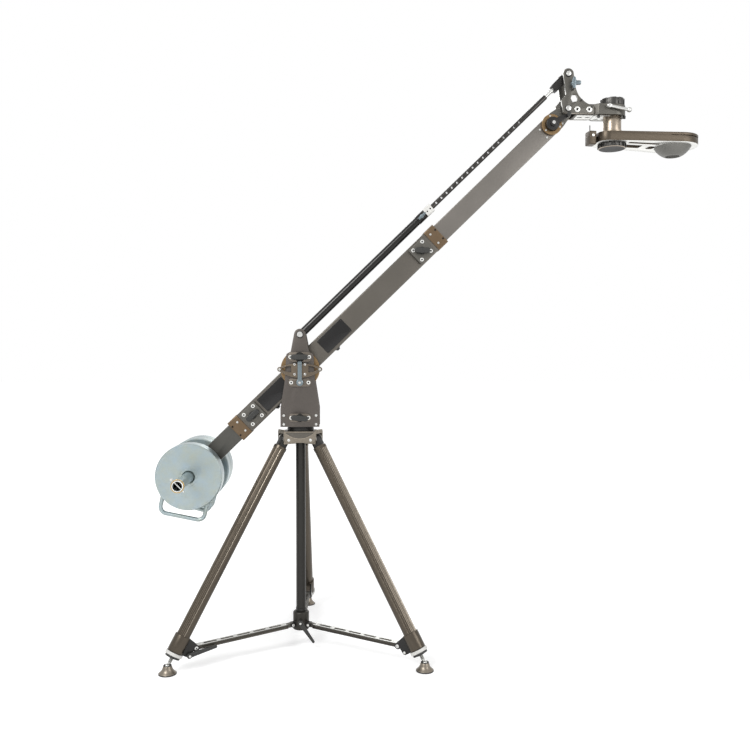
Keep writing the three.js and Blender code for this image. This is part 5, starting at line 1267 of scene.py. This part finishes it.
class CRANE_OT_levelling_rod(CraneTool, bpy.types.Operator):
    """Model the telescopic levelling rod with its bush, holes, pull pin and fork."""

    bl_idname = "crane.levelling_rod"
    bl_label = "Levelling Rod"

    def build(self):
        pipe, slider = Group("rod_tube", rod_frame()), Group("rod_slider", rod_frame())
        pieces = [turned(PIPE_PROFILE, ring=True, along="X"),
                  softened(turned([(18, -20), (18, 20)], 48, along="Y"), 1.2), drum(14.6, 8, 44, "X"),
                  turned([(9, 12), (9, 26), (8.2, 27)], along="-Y", at=(ROD_PIN, 0, 0)),
                  turned([(15.8, 640), (17.6, 641), (17.6, 679), (15.8, 680)], ring=True, along="X")]
        pipe.put(joined(*pieces), "rod_pipe", "rod_black", "rod_outer")
        bush = carved(drawn(rounded(35, 35, 4.4), "YZ", 682.3, 717.3), drum(10.4, 670, 730, "X", sides=48))
        pipe.put(softened(bush, 1), "rod_guide", "bearing", "rod_bush")
        pipe.set(screw_head(2.8, 1.6), both((692, 17.5, 0), (708, 17.5, 0)), "rod_guide_screws", "black_steel")
        drills = [drum(4.5, -14, 14, "Y", (FIRST_HOLE + HOLE_PITCH * k, 0, 0), 20) for k in range(HOLES)]
        bar = carved(drum(10, 466, 1345, "X", sides=48), joined(*drills))
        slider.put(softened(bar, 0.3), "rod_bar", "rod_grey", "rod_inner")
        slider.put(turned(STUD_PROFILE, along="X"), "rod_stud", "bright_steel")
        self.pin()
        outline = [(1388, -13), (1390, -15)] + arc(REACH, 0, 17, -90, 90, 20) + [(1390, 15), (1388, 13)]
        spacer = softened(drum(12, -36.7, 36.7, "Y", (REACH, 0, 0)), 0.6)
        slider.put(joined(slab(outline, "XZ", -18, 18, 1.4, 3), spacer), "rod_yoke", "black_metal", "rod_fork")
        axle(slider, "rod_axle", 8, 11)

    def pin(self):
        head = turned([(8, 27.3), (8, 36), (7, 37.5), (7, 39)], along="-Y", at=(ROD_PIN, 0, 0))
        outline = (arc(674, 0, 4.6, -80, 80, 8) + [(664, 3.4), (656, 3.4)] + arc(646, 0, 4.6, 100, 260, 8)
                   + [(656, -3.4), (664, -3.4)])
        piece = joined(softened(head, 0.5), slab(outline, "XZ", -48, -39, 1.4, 3),
                       drum(3.5, 10.4, 40, "-Y", (ROD_PIN, 0, 0)))
        Group("rod_stop", rod_frame()).put(piece, "rod_pull_pin", "blue_steel", "rod_pin")


HEAD_FACE = 47
HEAD_WINDOW = [(8, 34), (17, 25), (33, 28), (37, 40), (29, 54), (14, 53)]
RISER_CLAMP = (159, 0, 9)
RISER_BAR_TURN = radians(11)
# The pull pin's place beside the head's pivot, and its wings' distance from it
PULL_PIN_X, PULL_PIN_Z, PULL_PIN_WING = 17, 94, 17


class CRANE_OT_head(CraneTool, bpy.types.Operator):
    """Model the head: side plates, block, pull pin and tommy bar."""

    bl_idname = "crane.head"
    bl_label = "Head"

    def build(self):
        head = Group("head", head_frame())
        self.plates(head)
        self.block(head)
        self.pull_pin()
        self.tommy_bar()

    def plates(self, head):
        outline = [(-20, -12)] + bow((-20, -12), (-20, -19), (-10, -19), 8) + [(101, -19), (101, 14)]
        outline += bow((101, 14), (71.5, 14), (42, 50), 18) + bow((42, 50), (25, 80), (25, 110), 14)
        outline += arc(0, 134, 21, 0, 180, 24) + [(-9, 54), (-28, 31)]
        for name, low in (("near", -HEAD_FACE), ("far", HEAD_FACE - 10)):
            window = slab(HEAD_WINDOW, "XZ", low - 3, low + 13, 2.4, 3)
            plate = softened(carved(drawn(outline, "XZ", low, low + 10), window), 1)
            head.put(plate, "head_cheek_" + name, "head_grey", "head_plate_" + name)
            # Painted highlight: the edge faces get the lighter bronze, also standing for their machined finish, and the
            # faces towards -X get white steel
            paint_faces(plate, "rib_bright", lambda centre, normal: abs(normal.y) < 0.5)
            paint_faces(plate, "white_steel", lambda centre, normal: normal.x < -0.7)
        ring_screws(head, both((35.6, HEAD_FACE, -3), (82.6, HEAD_FACE, -3)), "head_bolt", 11)
        posts = at("-Y", (52, -HEAD_FACE, 32), (92, -HEAD_FACE, 6), (18, -HEAD_FACE, 72))
        head.set(turned([(3.4, 0), (3.4, 5), (2.6, 6)], 20), posts, "head_posts", "plastic")

    def block(self, head):
        axis = (RISER_AXIS, 0, 0)
        outline = [(31, -36.7), (107, -36.7), (120.3, -50)] + arc(RISER_AXIS, 0, 50, -90, 90, 36)
        outline += [(120.3, 50), (107, 36.7), (31, 36.7)]
        body = carved(drawn(outline, "XY", -21, 21), drum(25.4, -30, 30, at=axis, sides=64),
                      brick((40, -27.7, -25), (107, 27.7, 0), 3, 3), drum(3.8, 33, 52, "-Y", RISER_CLAMP),
                      box((212, -1.5, -25), (245, 1.5, 25)))
        head.put(softened(body, 1.2, 3), "head_body", "head_grey", "head_block")
        slots = [drawn(pill(20, 8, x, y), "XY", -25, -18) for x in (128, 160) for y in (-20, 20)]
        panel = carved(drawn(rounded(84, 62, 10, 150), "XY", -22.4, -20.8), *slots, drum(26, -30, 0, at=axis, sides=48))
        head.put(softened(panel, 0.4), "head_under_plate", "white_steel")
        head.set(turned([(5, -1), (5, 9), (4, 10)], 24), at("-Z", (124, -34, -21), (230, -24, -21)),
                 "head_under_posts", "plastic")
        holes = [drawn(pill(20, 9, x), "XY", -24, -16) for x in (58, 90)]
        floor = carved(drawn(rounded(66, 55, 3, 73.5), "XY", -21.4, -19.4), *holes)
        head.put(softened(floor, 0.3), "head_floor", "white_steel")

    def pull_pin(self):
        x, z, wing = PULL_PIN_X, PULL_PIN_Z, PULL_PIN_WING
        barrel = turned([(10, 47.3), (10, 55), (8.8, 56.4), (8.8, 62)], along="-Y", at=(x, 0, z))
        wings = (arc(x, z + wing, 5.6, 10, 170, 12) + [(x - 7.5, z + 9), (x - 7.5, z - 9)]
                 + arc(x, z - wing, 5.6, 190, 350, 12) + [(x + 7.5, z - 9), (x + 7.5, z + 9)])
        grip = turned([(6.4, 0), (8, 2), (8.6, 5), (8.6, 19), (7.6, 22), (5, 23.4)], along="X", at=(20, -64, z))
        piece = joined(drum(4, 24, 50, "-Y", (x, 0, z)), softened(barrel, 0.6),
                       slab(wings, "XZ", -69.3, -60, 2, 3), grip)
        Group("head_stop", head_frame()).put(piece, "head_pull_pin", "blue_steel", "head_pin")

    def tommy_bar(self):
        spot = head_frame() @ Matrix.Translation(RISER_CLAMP) @ Matrix.Rotation(RISER_BAR_TURN, 4, "Y")
        seat, bar = (0, -50.3, 0), (0, -60.3, 0)
        boss = turned([(8, 0), (8, 14), (7, 16)], along="-Y", at=seat)
        parts = [turned(profile, along="X", at=bar)
                 for profile in ([(6, -6), (6, 70), (6.8, 73)], sphere(10, 79, 80, 14), sphere(6, -6, 80, 12))]
        piece = joined(softened(boss, 0.6), drum(3.5, -8, 10, "-Y", seat), *parts)
        Group("riser_clamp", spot).put(piece, "riser_tommy_bar", "bright_steel", "riser_lever")


BRACKET_TURN = radians(8)
BOWL_OFFSET = 263.11
BOWL_PLACE = (BOWL_OFFSET, 0, 0)
ARM_TOP, ARM_BOTTOM = -88.6, -125.1
# Half the angle that the arm's arc round the bowl covers, in degrees
ARM_SWELL = 96.65
# Length, width, corner and place of the pockets milled into the arm's underside
ARM_POCKETS = [(134, 20, 5, 119, -38), (76, 42, 5, 92, 14), (30, 40, 8, 178, 20)]
RISER_PROFILE = [
    (24, -143.7), (25, -142.7), (25, -88.3), (41, -88.3), (42, -87.3), (42, -78), (41, -77.3), (36.4, -76.8),
    (35.5, -75.5), (35.5, -26), (34.4, -24), (35.5, -23), (35.5, -21.8), (25, -21.3), (25, 50), (23.8, 51.3),
]


def shell(radius, start, end, steps):
    """Profile of a part of a sphere about the arm's top, between two angles in degrees."""
    angles = [radians(start + (end - start) * k / steps) for k in range(steps + 1)]
    return [(radius * math.cos(a), ARM_TOP + radius * math.sin(a)) for a in angles]


class CRANE_OT_bracket(CraneTool, bpy.types.Operator):
    """Model the swinging bracket: nuts, riser, offset arm and camera bowl."""

    bl_idname = "crane.bracket"
    bl_label = "Bracket"

    def build(self):
        place = head_frame() @ Matrix.Translation((RISER_AXIS, 0, 0)) @ Matrix.Rotation(BRACKET_TURN, 4, "Z")
        bracket = Group("bracket", place)
        self.nut(bracket, "castle_nut_top", 47.5, 21.3, 49.3, 8)
        self.nut(bracket, "castle_nut_bottom", 56, -141.7, -125.7, 16)
        bracket.put(wheel(RISER_PROFILE), "riser_post", "champagne", "riser")
        self.arm(bracket)
        self.tab(bracket)
        profile = [(27.5, ARM_TOP - 73)] + shell(80, -65.9, 0, 18) + shell(75, 0, -68.5, 18)
        bowl = turned(profile, disc_sides(), ring=True, at=BOWL_PLACE)
        bracket.put(softened(bowl, 0.5), "camera_bowl", "bowl_grey", "bowl")

    def nut(self, bracket, node, radius, low, high, count):
        ring = wheel([(25.3, low), (radius - 1.5, low), (radius, low + 1.5), (radius, high - 1.5),
                      (radius - 1.5, high), (25.3, high)], ring=True)
        notches = [settle(brick((radius - 6, -6, low - 3), (radius + 6, 6, high + 3), 1.6, 3),
                          Matrix.Rotation(2 * math.pi * k / count, 4, "Z")) for k in range(count)]
        bracket.put(softened(carved(ring, joined(*notches)), 0.7), node + "_ring", "nut_grey", node)

    def arm(self, bracket):
        outline = (arc(-31, 24.5, 38, 90, 180, 14) + arc(-31, -24.5, 38, 180, 270, 14)
                   + arc(BOWL_OFFSET, 0, 96.4, -ARM_SWELL, ARM_SWELL, 72))
        inset = [(x * 0.955 + 5, y * 0.93) for x, y in outline]
        seat = wheel([(34, -165), (34, -161.8)] + shell(80.3, -60, 0, 14) + [(80.3, ARM_TOP + 4)], at=BOWL_PLACE)
        pockets = [slab(rounded(*shape), "XY", ARM_BOTTOM - 4, ARM_BOTTOM + 16, 2) for shape in ARM_POCKETS]
        body = carved(drawn(outline, "XY", ARM_BOTTOM, ARM_TOP), seat,
                      drum(25.4, ARM_BOTTOM - 5, ARM_TOP + 5, sides=64), *pockets)
        groove = carved(drawn(outline, "XY", ARM_TOP - 13, ARM_TOP - 9.5), drawn(inset, "XY", ARM_TOP - 20, ARM_TOP),
                        box((-80, -120, ARM_TOP - 25), (205, 120, ARM_TOP + 5)))
        body = softened(carved(body, groove), 1.2)
        bracket.put(body, "bracket_arm", "bracket_bronze", "offset_arm")
        # Painted light: the underside faces are painted white steel; painted shade: the pockets' ceilings are painted
        # black
        under = (bracket.place @ Vector((0, 0, ARM_BOTTOM))).z
        paint_faces(body, "white_steel", lambda centre, normal: normal.z < -0.8 and centre.z < under + 0.002)
        paint_faces(body, "black_metal",
                    lambda centre, normal: normal.z < -0.8 and under + 0.01 < centre.z < under + 0.018)
        bracket.put(wheel([(50, -141.5), (51, -142.2), (49, -144.4)]), "riser_cap", "rubber")
        # The rim round the cap is a painted highlight in the lighter bronze
        rim = wheel([(49.6, -144.5), (51.6, -143.6), (52.6, -142.3), (50.4, -142)], ring=True)
        bracket.put(rim, "riser_cap_rim", "rib_bright")
        spots = [(BOWL_OFFSET + 88 * math.cos(a), 88 * math.sin(a), ARM_TOP)
                 for a in [radians(45 + 90 * k) for k in range(4)]]
        bracket.set(countersunk(4.4), at("Z", *spots), "bracket_rim_screws")

    def tab(self, bracket):
        middle = (ARM_TOP + ARM_BOTTOM) / 2
        boss = turned([(9, -2), (9, 4), (11, 5.6), (11, 7)], along="-X", at=(-69, 0, middle))
        plate = slab(rounded(44, 53, 5, 0, middle), "YZ", -103, -76, 1.4, 3)
        bracket.put(joined(softened(boss, 0.5), plate), "bracket_tab", "bracket_bronze")
        post = turned([(1.8, 0), (1.8, 27), (1.2, 28)], 20, at=(-90, 8, middle + 26))
        bracket.put(post, "bracket_tab_post", "black_steel")
        bracket.set(screw_head(5, 3), both((-90, 22, middle + 8)), "bracket_tab_screws")


# Number, place along the bar and lean of each weight
WEIGHTS = [(1, -97.7, -12), (2, 97.7, -15.6), (3, 168, -15.6)]
HITCH_PIN = 335
# The brass rings' distance outward of the hitch pins
RING_OUTWARD = 6.6
DISC_PROFILE = [
    (20.6, -29), (25, -34.4), (34, -34.4), (34.6, -35), (121, -35), (125, -31), (125, 31), (121, 35), (34.6, 35),
    (34, 34.4), (25, 34.4), (20.6, 29),
]
BAR_PROFILE = [(17, -345), (18.8, -345), (20, -343.8), (20, 343.8), (18.8, 345), (17, 345)]
WEIGHT_HUB_PROFILE = [(19.8, 22.3), (29, 22.3), (30, 23.3), (30, 58), (27, 62.4), (19.8, 62.4)]
# A weight's bent handle: wire radius, start, height and half width of its corners' centres, corner radius
HANDLE_WIRE = 7.9
HANDLE_TOP = -62
HANDLE_CORNER_Z, HANDLE_CORNER_X = -132.5, 59.5
HANDLE_BEND = 25


class CRANE_OT_weights(CraneTool, bpy.types.Operator):
    """Model the weight bar, the disc weights with their handles and the hitch pins."""

    bl_idname = "crane.weights"
    bl_label = "Weights"

    def build(self):
        boom, angle = boom_frame(), stance().boom_angle
        self.bar(Group("rear_arm", boom @ Matrix.Translation((WEIGHT_AXLE, 0, 0))))
        x, z = WEIGHT_AXLE * math.cos(angle), stance().pivot_height + WEIGHT_AXLE * math.sin(angle)
        for number, y, lean in WEIGHTS:
            place = crane_frame() @ Matrix.Translation((x, y, z)) @ Matrix.Rotation(radians(-lean), 4, "Y")
            self.disc(number, Group(f"weight_{number}", place))
        for side, way in (("near", -1), ("far", 1)):
            self.hitch(side, way, boom @ Matrix.Translation((WEIGHT_AXLE, way * HITCH_PIN, 0)))

    def bar(self, arm):
        holes = [drum(2.9, -30, 30, sides=16, at=(0, y, 0)) for y in (-HITCH_PIN, HITCH_PIN)]
        bar = carved(turned(BAR_PROFILE, 48, ring=True, along="Y"), *holes)
        arm.put(bar, "weight_tube", "zinc", "weight_bar")
        paint_faces(bar, "white_steel", lambda centre, normal: abs(normal.y) > 0.6)
        hubs = [turned(WEIGHT_HUB_PROFILE, 48, ring=True, along=a) for a in ("Y", "-Y")]
        arm.put(joined(*hubs), "weight_hubs", "black_metal")
        arm.set(screw_head(3.4, 2), at("Z", (0, -46, 30), (0, 46, 30)), "weight_hub_screws")

    def disc(self, number, weight):
        disc = turned(DISC_PROFILE, disc_sides(), ring=True, along="Y")
        weight.put(disc, f"weight_disc_body_{number}", "zinc", f"weight_disc_{number}")
        fresh()
        bpy.ops.mesh.primitive_circle_add(
            vertices=20, radius=HANDLE_WIRE, fill_type="NGON",
            location=(-HANDLE_CORNER_X - HANDLE_BEND, 0, HANDLE_TOP))
        handle = bpy.context.object
        bpy.ops.object.mode_set(mode="EDIT")
        push, swing = bpy.ops.mesh.extrude_region_move, bpy.ops.mesh.spin
        push(TRANSFORM_OT_translate={"value": (0, 0, HANDLE_CORNER_Z - HANDLE_TOP)})
        swing(steps=8, angle=QUARTER, center=(-HANDLE_CORNER_X, 0, HANDLE_CORNER_Z), axis=(0, 1, 0))
        push(TRANSFORM_OT_translate={"value": (2 * HANDLE_CORNER_X, 0, 0)})
        swing(steps=8, angle=QUARTER, center=(HANDLE_CORNER_X, 0, HANDLE_CORNER_Z), axis=(0, 1, 0))
        push(TRANSFORM_OT_translate={"value": (0, 0, HANDLE_TOP - HANDLE_CORNER_Z)})
        closed(handle, 0.01)
        sockets = [turned([(11, 0), (11, 6), (9, 8)], 24, along="-Z", at=(x, 0, -88)) for x in (-85, 85)]
        weight.put(joined(handle, *sockets), f"weight_handle_{number}", "zinc")

    def hitch(self, side, way, place):
        pin = turned([(1.4, -31), (2.5, -29), (2.5, 29), (2.5, 31)], 20)
        knob = turned([(3.4, 26), (4.6, 27), (4.6, 34), (3.4, 35.4)], 24)
        hitch = Group(f"hitch_{side}", place)
        hitch.put(joined(pin, knob), f"hitch_pin_stem_{side}", "bright_steel", f"hitch_pin_{side}")
        fresh()
        bpy.ops.mesh.primitive_torus_add(
            major_segments=48, minor_segments=10, major_radius=22.6, minor_radius=1.4,
            location=(0, way * RING_OUTWARD, 0), rotation=(QUARTER, 0, 0))
        Group("rear_arm", place).put(settle(bpy.context.object), f"hitch_ring_{side}", "brass")


OPERATORS = [
    CRANE_OT_stage, CRANE_OT_crown, CRANE_OT_legs, CRANE_OT_feet, CRANE_OT_spreader, CRANE_OT_tower_base,
    CRANE_OT_tower, CRANE_OT_brake, CRANE_OT_wing_knobs, CRANE_OT_boom, CRANE_OT_boom_end,
    CRANE_OT_levelling_rod, CRANE_OT_head, CRANE_OT_bracket, CRANE_OT_weights,
]
GROUPS = {"crane_stance": CraneStance, "crane_detail": CraneDetail, "crane_finish": CraneFinish}


class CRANE_PT_panel(bpy.types.Panel):
    """Lists the crane's sizes, colours and building steps."""

    bl_idname = "CRANE_PT_panel"
    bl_label = "Camera Jib Crane"
    bl_space_type = "VIEW_3D"
    bl_region_type = "UI"
    bl_category = "Crane"

    def draw(self, context):
        for key, kind in GROUPS.items():
            area = self.layout.box()
            for name in kind.__annotations__:
                area.prop(getattr(context.scene, key), name)
        for operator in OPERATORS:
            self.layout.operator(operator.bl_idname)


def register():
    for group in GROUPS.values():
        bpy.utils.register_class(group)
    for name, group in GROUPS.items():
        setattr(bpy.types.Scene, name, bpy.props.PointerProperty(type=group))
    for operator in OPERATORS:
        bpy.utils.register_class(operator)
    bpy.utils.register_class(CRANE_PT_panel)


def unregister():
    bpy.utils.unregister_class(CRANE_PT_panel)
    for operator in reversed(OPERATORS):
        bpy.utils.unregister_class(operator)
    for name in GROUPS:
        delattr(bpy.types.Scene, name)
    for group in reversed(list(GROUPS.values())):
        bpy.utils.unregister_class(group)


def main():
    register()
    for operator in OPERATORS:
        category, name = operator.bl_idname.split(".")
        result = getattr(getattr(bpy.ops, category), name)()
        if "FINISHED" not in result:
            raise RuntimeError(operator.bl_label + " did not finish")


if __name__ == "__main__":
    main()
